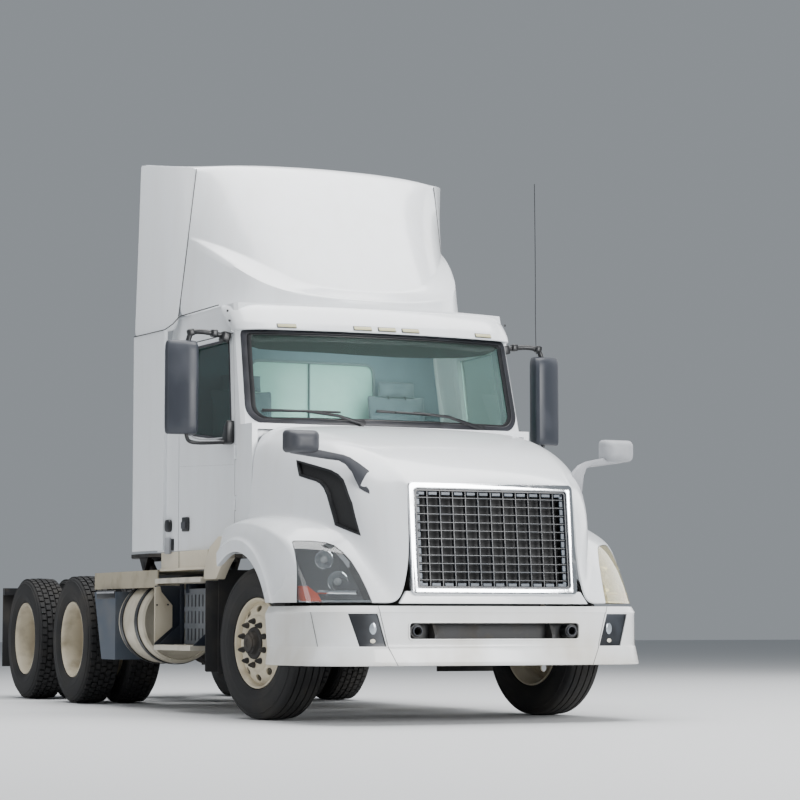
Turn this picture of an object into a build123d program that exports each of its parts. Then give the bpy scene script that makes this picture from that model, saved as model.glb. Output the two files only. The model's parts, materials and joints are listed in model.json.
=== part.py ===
"""Day-cab tractor unit with three axles, a tilting bonnet and a tall roof deflector.

Millimetres. +X is forward, +Y is the vehicle's left, +Z is up. The origin is on the ground below the
middle of the vehicle's length. Sketch planes start at the front axle, so that most places are given as
a distance ahead of it.
"""
from build123d import *
from math import cos, radians, sin, sqrt
import os

# Layout along the vehicle
wheelbase = 4518  # front axle to the middle of the tandem
tandem_spread = 1320
bumper_reach = 1319  # tip of the bumper's lower lip ahead of the front axle
tail_reach = 620  # back face of the mud flaps behind the last axle
overall_length = bumper_reach + wheelbase + tandem_spread / 2 + tail_reach
front_axle_x = overall_length / 2 - bumper_reach
middle_axle = -wheelbase + tandem_spread / 2
rear_axle = -wheelbase - tandem_spread / 2

# Clearances
seat_gap = 0.3  # between pieces that rest on each other
running_fit = 0.05  # radial, between a shaft and its bore
panel_gap = 8  # round a door

# Wheels and tyres
tyre_radius = 503
tyre_width = 280
bead_radius = 286
flange_radius = 298
rim_half_width = 118
front_track = 2050
dual_centre = 905  # clamped faces of a twin wheel, from the centre plane
dual_offset = 170  # from those faces to each tyre's centre
stud_circle = 142.9
stud_count = 10
spindle_radius = 40
hub_radius = 105

# Steering
kingpin_y = 880
kingpin_radius = 22
steer_at_rest = 9  # the wheels stand turned to the left
steer_arm = 190
ball_radius = 14
track_rod_drop = 142  # below the axle's height
knuckle_half_height = 105
yoke_half_gap = 58

# Ladder frame
rail_face = 425  # outer face of a rail from the centre plane
rail_height = 266
rail_flange = 90
rail_web = 8
frame_top = 1010
frame_bottom = frame_top - rail_height
rail_front = 1080
rail_tail = -5740

# Bumper and bonnet hinge
lip_flare = 30
bumper_face = bumper_reach - lip_flare
bumper_top = 742
bumper_crease = 480
bumper_bottom = 367
bumper_wall = 12
bumper_bow = 16  # of the front face, over half its width
front_half = 811
slot_half = 600
slot_low = 533
slot_high = 638
hinge_ahead = 1215
hinge_z = 660
hinge_pin = 16
hinge_arm_width = 20

# Bonnet
bonnet_wall = 18
bonnet_bottom = 765
bonnet_rear = -285
grille_top = (1207, 1526)
grille_bottom = (1278, 809)
grille_half = 537
grille_half_height = 314
surround_band = 46
arch_ahead = -115
arch_z = 480
arch_radius = 628
well_radius = 725
flare_face = 1247

# Cab
cab_wall = 60
cab_front = -550  # front of the doors
cab_back = -1850
cab_half_front = 1073
cab_half_back = 1180
cab_floor = 1145
cab_belt = 1986  # height where the sides start to lean in
cab_top = 2850
firewall = -470
cowl_ahead = -295
door_front = -558
door_rear = -1490
door_top = 2640
glass = 6

# Roof deflector and side extenders
seam_ahead = -1683
deflector_top = 4037
deflector_wall = 22
extender_wall = 24

# Coupling
coupling_ahead = -4420
coupling_top = 1200
coupling_pivot_z = 1112
coupling_pin = 28
king_bore = 25.4  # half of a 50.8 mm kingpin

side_slope = (cab_half_back - cab_half_front) / (cab_front - cab_back)


def ahead(distance):
    """Row coordinate of a place ahead of the front axle."""
    return front_axle_x + distance


def side_plane(y):
    """Upright plane along the vehicle, drawn in distance ahead and height, facing right."""
    return Plane(origin=(front_axle_x, y, 0), x_dir=(1, 0, 0), z_dir=(0, -1, 0))


def plan_plane(z):
    """Level plane, drawn in distance ahead and distance to the left."""
    return Plane(origin=(front_axle_x, 0, z))


def cross_plane(distance):
    """Upright plane across the vehicle, drawn in distance to the left and height, facing forward."""
    return Plane(origin=(ahead(distance), 0, 0), x_dir=(0, 1, 0), z_dir=(1, 0, 0))


def side_slab(points, y_low, y_high):
    """A flat shape drawn from the side, from y_low to y_high."""
    with BuildPart() as slab:
        with BuildSketch(side_plane(y_high)):
            with BuildLine():
                Polyline(*points, close=True)
            make_face()
        extrude(amount=y_high - y_low)
    return slab.part


def plan_slab(points, z_low, z_high):
    """A flat shape drawn from above, from z_low to z_high."""
    with BuildPart() as slab:
        with BuildSketch(plan_plane(z_low)):
            with BuildLine():
                Polyline(*points, close=True)
            make_face()
        extrude(amount=z_high - z_low)
    return slab.part


def cross_slab(points, rear, front):
    """A flat shape drawn from the front, from rear to front along the vehicle."""
    with BuildPart() as slab:
        with BuildSketch(cross_plane(rear)):
            with BuildLine():
                Polyline(*points, close=True)
            make_face()
        extrude(amount=front - rear)
    return slab.part


def block(rear, front, y_low, y_high, z_low, z_high):
    """A plain block between pairs of faces."""
    outline = [(y_low, z_low), (y_high, z_low), (y_high, z_high), (y_low, z_high)]
    return cross_slab(outline, rear, front)


def rod(start, end, radius):
    """A round bar between two places given as distance ahead, distance left and height."""
    foot = Vector(ahead(start[0]), start[1], start[2])
    head = Vector(ahead(end[0]), end[1], end[2])
    with BuildPart() as bar:
        with BuildSketch(Plane(origin=foot, z_dir=head - foot)):
            Circle(radius)
        extrude(amount=(head - foot).length)
    return bar.part


def side_half(distance):
    """Half width of the cab's outer face below the belt line."""
    return cab_half_front + (cab_front - distance) * side_slope


def save(part, label):
    """Names a finished piece and writes it."""
    part.label = label
    export_step(part, f"parts/{label}.step")


os.makedirs("parts", exist_ok=True)

bead_edge = flange_radius + 4

# Tyre, standing about the origin with its axle along Y
with BuildPart() as tyre:
    with BuildSketch(Plane.YZ):
        with BuildLine():
            Polyline((-105, bead_edge), (-105, bead_radius), (105, bead_radius), (105, bead_edge))
            ThreePointArc((105, bead_edge), (tyre_width / 2, 395), (120, 478))
            Line((120, 478), (102, 498))
            ThreePointArc((102, 498), (0, tyre_radius), (-102, 498))
            Line((-102, 498), (-120, 478))
            ThreePointArc((-120, 478), (-tyre_width / 2, 395), (-105, bead_edge))
        make_face()
    revolve(axis=Axis.Y)

# Rim barrel shared by all wheels, its outer side towards +Y
barrel_radius = bead_radius - seat_gap
barrel_inside = barrel_radius - 12
with BuildPart() as barrel:
    with BuildSketch(Plane.YZ):
        with BuildLine():
            Polyline((-rim_half_width, barrel_inside), (rim_half_width, barrel_inside),
                     (rim_half_width, flange_radius), (105.3, flange_radius), (105.3, barrel_radius),
                     (-105.3, barrel_radius), (-105.3, flange_radius), (-rim_half_width, flange_radius),
                     close=True)
        make_face()
    revolve(axis=Axis.Y)


def disc(mount, side):
    """Wheel disc whose flat clamped face is at mount along the axle, its cone opening towards side."""
    thick = 11
    with BuildPart() as plate:
        with BuildSketch(Plane.YZ):
            with BuildLine():
                Polyline((mount, 108), (mount + thick, 108), (mount + thick, 178),
                         (mount + side * 58 + thick, 262), (mount + side * 58 + thick, barrel_inside + 4),
                         (mount + side * 58, barrel_inside + 4), (mount + side * 58, 262), (mount, 178),
                         close=True)
            make_face()
        revolve(axis=Axis.Y)
        with BuildSketch(Plane.XZ.offset(-mount - 120)):
            with PolarLocations(222, stud_count):
                Ellipse(30, 21)
        extrude(amount=240, mode=Mode.SUBTRACT)
    return plate.part


def studs(face, side):
    """Nuts under conical covers on a disc's face."""
    with BuildPart() as nuts:
        base = Plane.XZ.offset(-face)
        with BuildSketch(base if side < 0 else base.rotated((180, 0, 0))):
            with PolarLocations(stud_circle, stud_count):
                Circle(21)
        extrude(amount=34, taper=16)
    return nuts.part


front_offset = front_track / 2 - kingpin_y
front_mount = 128
with BuildPart() as front_rim:
    add(barrel.part)
    add(disc(front_mount, -1))
    add(studs(front_mount + 11, 1))
    with BuildSketch(Plane.YZ):
        with BuildLine():
            Polyline((-45, spindle_radius + running_fit), (135, spindle_radius + running_fit), (135, 0),
                     (190, 0), (190, 52), (160, 66), (front_mount, 70), (front_mount, 150), (98, 150),
                     (86, hub_radius), (-45, hub_radius), close=True)
        make_face()
    revolve(axis=Axis.Y)

# Twin wheels turn on one hub, and are drawn about the clamped faces with the outer side towards +Y
with BuildPart() as twin_rims:
    for centre, mount, side in ((dual_offset, 0, 1), (-dual_offset, -11, -1)):
        with Locations((0, centre, 0)):
            add(barrel.part)
        add(disc(mount, side))
    add(studs(11, 1))
    with BuildSketch(Plane.YZ):
        with BuildLine():
            Polyline((-185, spindle_radius + running_fit), (72, spindle_radius + running_fit), (72, 0),
                     (130, 0), (130, 82), (60, 92), (11, 112), (11, 108), (-11, 108), (-11, 165),
                     (-32, 165), (-60, hub_radius), (-185, hub_radius), close=True)
        make_face()
    revolve(axis=Axis.Y)
with BuildPart() as twin_tyres:
    with Locations((0, dual_offset, 0), (0, -dual_offset, 0)):
        add(tyre.part)

for side, name in ((1, "left"), (-1, "right")):
    kingpin = Location((front_axle_x, side * kingpin_y, tyre_radius), (0, 0, steer_at_rest))
    wheel_place = kingpin * Location((0, side * front_offset, 0))
    rim = front_rim.part if side > 0 else mirror(front_rim.part, about=Plane.XZ)
    save(tyre.part.moved(wheel_place), f"tyre_front_{name}")
    save(rim.moved(wheel_place), f"rim_front_{name}")
    for axle, place in (("mid", middle_axle), ("rear", rear_axle)):
        twin_place = Location((ahead(place), side * dual_centre, tyre_radius))
        rims = twin_rims.part if side > 0 else mirror(twin_rims.part, about=Plane.XZ)
        save(twin_tyres.part.moved(twin_place), f"tyres_{axle}_{name}")
        save(rims.moved(twin_place), f"rims_{axle}_{name}")

# Steering knuckle, drawn about the kingpin at axle height with the outer side towards +Y
with BuildPart() as knuckle:
    for low, high in ((yoke_half_gap, knuckle_half_height), (-knuckle_half_height, -yoke_half_gap)):
        with BuildSketch(Plane.XY.offset(low)):
            Circle(50)
            with Locations((0, 32)):
                Rectangle(100, 64)
        extrude(amount=high - low)
    with BuildSketch(Plane.XY.offset(-knuckle_half_height)):
        with Locations((0, 66)):
            Rectangle(100, 30)
    extrude(amount=2 * knuckle_half_height)
    with BuildSketch(Plane.XZ.offset(-75)):
        Circle(62)
    extrude(amount=-22)
    with BuildSketch(Plane.XZ.offset(-75)):
        Circle(spindle_radius)
    extrude(amount=-195)
    with BuildSketch(Plane.XY.offset(-knuckle_half_height)):
        with BuildLine():
            Polyline((20, -34), (20, 34), (-steer_arm, 22), (-steer_arm - 24, 0), (-steer_arm, -22),
                     close=True)
        make_face()
    extrude(amount=36)
    with BuildSketch(Plane.XY.offset(-knuckle_half_height)):
        with Locations((-steer_arm, 0)):
            Circle(ball_radius)
    extrude(amount=-62)
    with BuildSketch(Plane.XY.offset(-knuckle_half_height)):
        Circle(kingpin_radius + running_fit)
    extrude(amount=2 * knuckle_half_height, mode=Mode.SUBTRACT)
for side, name in ((1, "left"), (-1, "right")):
    kingpin = Location((front_axle_x, side * kingpin_y, tyre_radius), (0, 0, steer_at_rest))
    turned = knuckle.part if side > 0 else mirror(knuckle.part, about=Plane.XZ)
    save(turned.moved(kingpin), f"knuckle_{name}")

# Track rod between the two steering arms
ball_ahead = -steer_arm * cos(radians(steer_at_rest))
ball_shift = -steer_arm * sin(radians(steer_at_rest))
rod_z = tyre_radius - track_rod_drop
with BuildPart() as tie_rod:
    add(rod((ball_ahead, -kingpin_y + ball_shift + 12, rod_z), (ball_ahead, kingpin_y + ball_shift - 12, rod_z), 20))
    for y in (-kingpin_y + ball_shift, kingpin_y + ball_shift):
        with BuildSketch(plan_plane(rod_z - 22)):
            with Locations((ball_ahead, y)):
                Circle(30)
        extrude(amount=44)
    with BuildSketch(plan_plane(rod_z - 22)):
        with Locations((ball_ahead, -kingpin_y + ball_shift)):
            Circle(ball_radius + running_fit)
        with Locations((ball_ahead, kingpin_y + ball_shift)):
            Circle(ball_radius + 1.5)
    extrude(amount=44, mode=Mode.SUBTRACT)
save(tie_rod.part, "tie_rod")

# Dropped front axle beam with its kingpins
beam_top = 455
with BuildPart() as front_axle:
    with BuildSketch(cross_plane(-45)):
        with BuildLine():
            Polyline((-860, 545), (-700, 522), (-480, beam_top), (480, beam_top), (700, 522), (860, 545),
                     (860, 462), (700, 424), (480, 345), (-480, 345), (-700, 424), (-860, 462), close=True)
        make_face()
    extrude(amount=90)
    for front in (True, False):
        with BuildSketch(cross_plane(45 if front else -45)):
            with BuildLine():
                Polyline((-660, 488), (-470, 430), (470, 430), (660, 488), (660, 438), (470, 370),
                         (-470, 370), (-660, 438), close=True)
            make_face()
        extrude(amount=-32 if front else 32, mode=Mode.SUBTRACT)
    for y in (-kingpin_y, kingpin_y):
        with BuildSketch(plan_plane(tyre_radius - yoke_half_gap + 4)):
            with Locations((0, y)):
                Circle(44)
        extrude(amount=2 * yoke_half_gap - 8)
        with BuildSketch(plan_plane(tyre_radius - knuckle_half_height)):
            with Locations((0, y)):
                Circle(kingpin_radius)
        extrude(amount=2 * knuckle_half_height)
    for y in (-400, 400):
        add(block(-75, 75, y - 45, y + 45, beam_top - 1, beam_top + 14))
save(front_axle.part, "front_axle")

# Front leaf springs with their hangers under the rails
spring_seat = beam_top + 14
with BuildPart() as front_springs:
    with BuildSketch(side_plane(440)):
        with BuildLine():
            ThreePointArc((-720, 625), (0, spring_seat + seat_gap), (720, 625))
            Line((720, 625), (720, 641))
            ThreePointArc((720, 641), (0, spring_seat + 52), (-720, 641))
            Line((-720, 641), (-720, 625))
        make_face()
    extrude(amount=80)
    for eye in (-720, 720):
        with BuildSketch(side_plane(440)):
            with Locations((eye, 648)):
                Circle(34)
        extrude(amount=80)
        add(side_slab([(eye - 34, 648), (eye + 34, 648), (eye + 60, frame_bottom), (eye - 60, frame_bottom)],
                      360, 440))
    mirror(about=Plane.XZ)

# Drive axle housings with their differentials
diff_radius = 205
pinion_reach = 330
with BuildPart() as drive_axles:
    for place in (middle_axle, rear_axle):
        add(rod((place, -715, tyre_radius), (place, 715, tyre_radius), 68))
        for side in (1, -1):
            add(rod((place, side * 700, tyre_radius), (place, side * (dual_centre - 190), tyre_radius), 90))
            add(rod((place, side * 700, tyre_radius), (place, side * (dual_centre + 66), tyre_radius),
                    spindle_radius))
        with BuildSketch(cross_plane(place - 110)):
            with Locations((0, tyre_radius)):
                Circle(diff_radius)
        extrude(amount=220)
        with BuildSketch(cross_plane(place + 110)):
            with Locations((0, tyre_radius)):
                Circle(150)
        extrude(amount=pinion_reach - 110, taper=14)

# Trailing arms and air springs of the tandem
arm_y = 400
with BuildPart() as rear_suspension:
    for place in (middle_axle, rear_axle):
        hanger = place + 520
        add(side_slab([(hanger - 60, frame_bottom), (hanger + 60, frame_bottom), (hanger + 35, 480),
                       (hanger - 35, 480)], arm_y - 40, arm_y + 40))
        add(side_slab([(hanger - 20, 485), (hanger - 20, 545), (place + 60, 640), (place - 60, 640),
                       (place - 180, 560), (place - 440, 560), (place - 440, 505), (place - 180, 500),
                       (place - 80, 572), (place + 80, 572)], arm_y - 40, arm_y + 40))
        with BuildSketch(plan_plane(560)):
            with Locations((place - 340, arm_y)):
                Circle(115)
        extrude(amount=frame_bottom - 560)
        add(side_slab([(place - 70, 572), (place + 70, 572), (place + 85, 470), (place - 85, 470)],
                      arm_y - 40, arm_y + 40))
    mirror(about=Plane.XZ)
    for place in (middle_axle, rear_axle):
        add(rod((place, -500, tyre_radius), (place, 500, tyre_radius), 68 + seat_gap), mode=Mode.SUBTRACT)
save(Compound(children=[*front_springs.part.solids(), *rear_suspension.part.solids()]), "suspension")

# Ladder frame
cross_members = (1000, -1950, -2900, -wheelbase, rail_tail + 40)
with BuildPart() as frame:
    with BuildSketch(cross_plane(rail_tail)):
        with BuildLine():
            inner = rail_face - rail_flange
            web = rail_face - rail_web
            Polyline((rail_face, frame_bottom), (rail_face, frame_top), (inner, frame_top),
                     (inner, frame_top - rail_web), (web, frame_top - rail_web), (web, frame_bottom + rail_web),
                     (inner, frame_bottom + rail_web), (inner, frame_bottom), close=True)
        make_face()
    extrude(amount=rail_front - rail_tail)
    mirror(about=Plane.XZ)
    for place in cross_members:
        add(block(place - 35, place + 35, -rail_face + rail_web, rail_face - rail_web, frame_bottom + 50,
                  frame_bottom + 58))
        add(block(place - 35, place + 35, -rail_face + rail_web, rail_face - rail_web, frame_top - 58,
                  frame_top - 50))
        add(block(place - 4, place + 4, -rail_face + rail_web, rail_face - rail_web, frame_bottom + 50,
                  frame_top - 50))
    for place in (-600, -1760):
        for y in (-395, 395):
            add(block(place - 45, place + 45, y - 28, y + 28, frame_top, cab_floor))

# Tow bar and bonnet hinge brackets at the rails' front ends
tow_height = (slot_low + slot_high) / 2
tow_y = 548
bracket_reach = bumper_face - bumper_wall - bumper_bow * (rail_face / front_half) ** 2 - seat_gap
with BuildPart() as tow_bar:
    add(block(1120, 1180, -620, 620, slot_low + 2, slot_high - 2))
    for y in (-tow_y, tow_y):
        with BuildSketch(cross_plane(1120)):
            with Locations((y, tow_height)):
                Circle(43)
        extrude(amount=145)
        with BuildSketch(cross_plane(1120)):
            with Locations((y, tow_height)):
                Circle(26)
        extrude(amount=145, mode=Mode.SUBTRACT)
    for y in (-rail_face + 10, rail_face - 10):
        add(side_slab([(900, frame_bottom), (rail_front, frame_bottom), (rail_front, 715), (hinge_ahead + 18, 690),
                       (hinge_ahead + 18, 630), (bracket_reach, 560),
                       (bracket_reach, 410), (1100, 410), (1000, 620)], y - 10, y + 10))
    for side in (1, -1):
        add(rod((hinge_ahead, side * (rail_face - 5), hinge_z),
                (hinge_ahead, side * (rail_face + hinge_arm_width + 12), hinge_z), hinge_pin))
save(tow_bar.part, "tow_bar")

# Coupling: base on the rails and a rocking plate
pedestal_in = 330
pedestal_out = 370
with BuildPart() as coupling_base:
    add(block(coupling_ahead - 430, coupling_ahead + 430, -rail_face, rail_face, frame_top, frame_top + 12))
    for side in (1, -1):
        low, high = sorted((side * pedestal_in, side * pedestal_out))
        add(side_slab([(coupling_ahead - 190, frame_top + 12), (coupling_ahead + 190, frame_top + 12),
                       (coupling_ahead + 48, coupling_pivot_z + 8), (coupling_ahead - 48, coupling_pivot_z + 8)],
                      low, high))
        with BuildSketch(side_plane(high)):
            with Locations((coupling_ahead, coupling_pivot_z)):
                Circle(48)
        extrude(amount=high - low)
        add(rod((coupling_ahead, side * pedestal_in, coupling_pivot_z),
                (coupling_ahead, side * (pedestal_out + 42), coupling_pivot_z), coupling_pin))
save(coupling_base.part, "coupling_base")
plate_thick = 30
with BuildPart() as coupling_plate:
    with BuildSketch(plan_plane(coupling_top - plate_thick)):
        with BuildLine():
            Polyline((coupling_ahead + 430, -300), (coupling_ahead + 430, 300), (coupling_ahead + 250, 450),
                     (coupling_ahead - 200, 450), (coupling_ahead - 520, 330), (coupling_ahead - 520, 210),
                     (coupling_ahead - 150, king_bore), (coupling_ahead, king_bore),
                     (coupling_ahead, -king_bore), (coupling_ahead - 150, -king_bore),
                     (coupling_ahead - 520, -210), (coupling_ahead - 520, -330), (coupling_ahead - 200, -450),
                     (coupling_ahead + 250, -450), close=True)
        make_face()
        with Locations((coupling_ahead, 0)):
            Circle(king_bore, mode=Mode.SUBTRACT)
    extrude(amount=plate_thick)
    with BuildSketch(plan_plane(coupling_top - plate_thick - 45)):
        with Locations((coupling_ahead, 0)):
            Circle(130)
            Circle(king_bore, mode=Mode.SUBTRACT)
        with Locations((coupling_ahead - 80, 0)):
            Rectangle(160, 2 * king_bore, mode=Mode.SUBTRACT)
    extrude(amount=45)
    for side in (1, -1):
        low, high = sorted((side * (pedestal_out + 6), side * (pedestal_out + 40)))
        with BuildSketch(side_plane(high)):
            with Locations((coupling_ahead, coupling_pivot_z)):
                Circle(50)
            with BuildLine():
                Polyline((coupling_ahead - 110, coupling_top - plate_thick), (coupling_ahead + 110, coupling_top - plate_thick),
                         (coupling_ahead + 42, coupling_pivot_z - 26), (coupling_ahead - 42, coupling_pivot_z - 26),
                         close=True)
            make_face()
            with Locations((coupling_ahead, coupling_pivot_z)):
                Circle(coupling_pin + running_fit, mode=Mode.SUBTRACT)
        extrude(amount=high - low)
    for y in (-300, 300):
        add(block(coupling_ahead - 380, coupling_ahead + 300, y - 8, y + 8, coupling_top - plate_thick - 30,
                  coupling_top - plate_thick))
save(coupling_plate.part, "coupling_plate")

# Engine and gearbox as plain masses, with the mounts that carry them
with BuildPart() as powertrain:
    add(block(-330, 850, -318, 318, 560, 1480))
    add(rod((-330, 0, 800), (-1300, 0, 800), 205))
    for place in (-150, 600):
        add(block(place - 50, place + 50, -rail_face + rail_web, rail_face - rail_web, 850, 900))
    add(block(-1150, -1090, -rail_face + rail_web, rail_face - rail_web, 800, 850))
save(powertrain.part, "powertrain")

with BuildPart() as prop_shafts:
    for start, end in (((-1300, 0, 800), (middle_axle + pinion_reach, 0, tyre_radius)),
                       ((middle_axle - 110, 0, tyre_radius), (rear_axle + pinion_reach, 0, tyre_radius))):
        stub_start = (start[0] - 70, 0, start[2])
        stub_end = (end[0] + 70, 0, end[2])
        add(rod(start, stub_start, 58))
        add(rod(stub_start, stub_end, 48))
        add(rod(stub_end, end, 58))
        for centre in (stub_start, stub_end):
            with Locations((ahead(centre[0]), 0, centre[2])):
                Sphere(64)
save(Compound(children=[*drive_axles.part.solids(), *prop_shafts.part.solids()]), "drive_axles")

# Radiator on the front cross-member
with BuildPart() as radiator:
    add(block(870, 960, -480, 480, frame_top, 1440))
    add(block(870, 960, -325, 325, frame_top - 210, frame_top))
    for y in (-450, 450):
        add(block(955, 975, y - 30, y + 30, frame_top + 20, 1420))
save(radiator.part, "radiator")

# Bumper, its outline drawn from above for any distance outside its main face


def bumper_plan(grow):
    """Half outline from the centre round the corner to the rear end."""
    return ((bumper_face + grow, 0), (bumper_face - bumper_bow + grow, front_half), (1164 + 0.7 * grow, 1090 + 0.7 * grow),
            (930, 1200 + grow), (420, 1235 + grow))


def bumper_ring(z, grow, wall):
    """Level cut through the bumper's wall."""
    outer = bumper_plan(grow)
    within = bumper_plan(grow - wall)
    with BuildSketch(plan_plane(z)) as ring:
        with BuildLine():
            for run, back in ((outer, False), (within, True)):
                nose, front, corner, side, rear = run
                flip = [(x, -y) for x, y in run]
                ThreePointArc(flip[1], nose, front)
                ThreePointArc(front, corner, side)
                ThreePointArc(flip[1], flip[2], flip[3])
                Line(side, rear)
                Line(flip[3], flip[4])
            Line(outer[4], within[4])
            Line((outer[4][0], -outer[4][1]), (within[4][0], -within[4][1]))
        make_face()
    return ring.sketch


with BuildPart() as bumper:
    add(bumper_ring(bumper_crease, 0, bumper_wall))
    extrude(amount=bumper_top - bumper_crease, dir=(0, 0, 1))
    add(bumper_ring(bumper_top - 10, 0, 26))
    extrude(amount=10, dir=(0, 0, 1))
    loft(sections=[bumper_ring(bumper_crease, 0, bumper_wall), bumper_ring(bumper_bottom, lip_flare, bumper_wall)],
         ruled=True)
    for side in (1, -1):
        low, high = sorted((side * 1150, side * 1300))
        add(side_slab([(300, bumper_top + 20), (429, bumper_top + 20), (429, bumper_top), (540, bumper_bottom),
                       (540, bumper_bottom - 20), (300, bumper_bottom - 20)], low, high), mode=Mode.SUBTRACT)
    with BuildSketch(cross_plane(1200)):
        with Locations((0, tow_height)):
            RectangleRounded(2 * slot_half, slot_high - slot_low, 12)
    extrude(amount=200, mode=Mode.SUBTRACT)

# Fuel tanks with straps, one each side
tank_y = 885
tank_z = 645
tank_radius = 312
tank_front = -2150
tank_rear = -2730
with BuildPart() as fuel_tanks:
    for y in (-tank_y, tank_y):
        with BuildSketch(cross_plane(tank_rear)):
            with Locations((y, tank_z)):
                Circle(tank_radius)
        extrude(amount=tank_front - tank_rear)
save(fuel_tanks.part, "fuel_tanks")
strap_width = 62
strap_gap = 1
with BuildPart() as tank_straps:
    for y in (-tank_y, tank_y):
        inboard = 1 if y < 0 else -1
        for place in (-2270, -2610):
            with BuildSketch(cross_plane(place - strap_width / 2)):
                with Locations((y, tank_z)):
                    Circle(tank_radius + 6)
                    Circle(tank_radius + seat_gap, mode=Mode.SUBTRACT)
            extrude(amount=strap_width)
            low, high = sorted((y + inboard * (tank_radius + 3), inboard * -rail_face))
            add(block(place - strap_width / 2, place + strap_width / 2, low, high, 560, 640))
            add(block(place - strap_width / 2, place + strap_width / 2,
                      *sorted((inboard * -(rail_face + 14), inboard * -rail_face)), 560, frame_top - 40))
save(tank_straps.part, "tank_straps")

# Battery box behind the right tank, tool box behind the left
with BuildPart() as side_boxes:
    for side in (1, -1):
        low, high = sorted((side * 700, side * 1190))
        add(side_slab([(-2780, 357), (-3110, 357), (-3300, 870), (-2780, 870)], low, high))
        low, high = sorted((side * rail_face, side * 701))
        add(block(-3000, -2900, low, high, 780, 860))

# Deck behind the cab with folded sides
deck_half = 1140
deck_thick = 10
with BuildPart() as deck_plate:
    add(block(-3450, -1960, -deck_half, deck_half, frame_top, frame_top + deck_thick))
    for y in (-deck_half, deck_half - deck_thick):
        add(block(-3450, -1960, y, y + deck_thick, 893, frame_top + 1))
save(deck_plate.part, "deck_plate")

# Steps under the doors, carried by brackets on the rails
with BuildPart() as steps:
    for side in (1, -1):
        def span(near, far):
            return sorted((side * near, side * far))
        add(block(-1860, -907, *span(930, 1195), 918, 950))
        add(block(-1880, -1110, *span(985, 1195), 440, 474))
        for place in (-1870, -1130):
            add(side_slab([(place, 440), (place + 16, 440), (place + 16, 930), (place, 930)], *span(970, 1000)))
            add(cross_slab([(side * 1190, 455), (side * 980, 455), (side * 980, 640)], place, place + 16))
        for place in (-1160, -1780):
            add(block(place - 30, place + 30, *span(rail_face, 975), 850, 919))

# After-treatment box behind the right steps, air tanks behind the left ones
with BuildPart() as after_treatment:
    add(block(-1850, -1140, -960, -540, 478, 848))
    for place in (-1300, -1640):
        add(block(place - 30, place + 30, -545, -rail_face, 760, 840))
    with BuildSketch(cross_plane(-1140)):
        with Locations((-740, 660)):
            Circle(120)
    extrude(amount=160)
save(after_treatment.part, "after_treatment")
with BuildPart() as slot_screen:
    with BuildSketch(side_plane(-960 - seat_gap)):
        with Locations((-1495, 663)):
            RectangleRounded(690, 360, 10)
        for row in (-1, 0, 1):
            with Locations((-1495, 663 + row * 112)):
                with GridLocations(44, 1, 14, 1):
                    SlotOverall(90, 17, rotation=90, mode=Mode.SUBTRACT)
    extrude(amount=8)
save(Compound(children=[*steps.part.solids(), *slot_screen.part.solids()]), "steps")
with BuildPart() as air_tanks:
    for z in (560, 745):
        add(rod((-1800, 640, z), (-1140, 640, z), 88))
        for place in (-1350, -1650):
            add(block(place - 20, place + 20, rail_face, 560, z - 20, z + 20))
    for place in (-1350, -1650):
        add(block(place - 20, place + 20, rail_face, rail_face + 20, 540, 900))
save(Compound(children=[*side_boxes.part.solids(), *air_tanks.part.solids()]), "side_boxes")

# Rubber flaps behind the front wheels and behind the last axle
with BuildPart() as flaps:
    for side in (1, -1):
        low, high = sorted((side * 560, side * 1105))
        add(block(-790, -778, low, high, 290, 1000))
        low, high = sorted((side * 610, side * 1215))
        add(block(rear_axle - tail_reach, rear_axle - tail_reach + 10, low, high, 260, 930))
        low, high = sorted((side * rail_face, side * 561))
        add(block(-790, -778, low, high, 760, 880))
save(flaps.part, "flaps")
flap_bar_ahead = rear_axle - tail_reach + 10
with BuildPart() as rear_bar:
    add(block(flap_bar_ahead, rail_tail, -1215, 1215, 870, 930))
    for side in (1, -1):
        low, high = sorted((side * 340, side * rail_face))
        add(block(flap_bar_ahead, rail_tail, low, high, frame_bottom, frame_top))
with BuildPart() as whole_frame:
    add(frame.part)
    add(rear_bar.part)
save(whole_frame.part, "frame")
with BuildPart() as rear_lamps:
    for y in (-290, -180, 180, 290):
        with BuildSketch(cross_plane(flap_bar_ahead)):
            with Locations((y, 900)):
                Circle(50)
        extrude(amount=-9)

# Cab body, its outline drawn from above at any height and any distance inside its outer faces
pillar_corner = -474


def cab_outline(z, inset):
    """Level cut through the cab above the belt: sides that lean in and a bowed windscreen."""
    rise = z - cab_belt
    back_half = cab_half_back - 0.139 * rise - inset
    pillar = -439 - 0.2776 * rise
    pillar_half = 1046 - 0.0388 * rise
    corner_half = side_half(pillar_corner) - 0.0388 * rise - inset
    with BuildSketch(plan_plane(z)) as outline:
        with BuildLine():
            Line((cab_back + inset, -back_half), (cab_back + inset, back_half))
            for side in (1, -1):
                Line((cab_back + inset, side * back_half), (pillar - 35 - inset, side * corner_half))
                Line((pillar - 35 - inset, side * corner_half), (pillar - inset, side * (pillar_half - inset)))
            ThreePointArc((pillar - inset, -pillar_half + inset), (pillar + 150 - inset, 0),
                          (pillar - inset, pillar_half - inset))
        make_face()
    return outline.sketch


def upper_form(inset, roof):
    """Solid inside the cab's outline above the belt."""
    with BuildPart() as form:
        loft(sections=[cab_outline(cab_belt, inset), cab_outline(roof, inset)], ruled=True)
    return form.part


def lower_form(inset, front, low):
    """Solid inside the cab's outline below the belt."""
    fore_half = side_half(front) - inset
    back_half = cab_half_back - inset
    return plan_slab([(cab_back + inset, -back_half), (front, -fore_half), (front, fore_half),
                      (cab_back + inset, back_half)], low, cab_belt)


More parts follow.
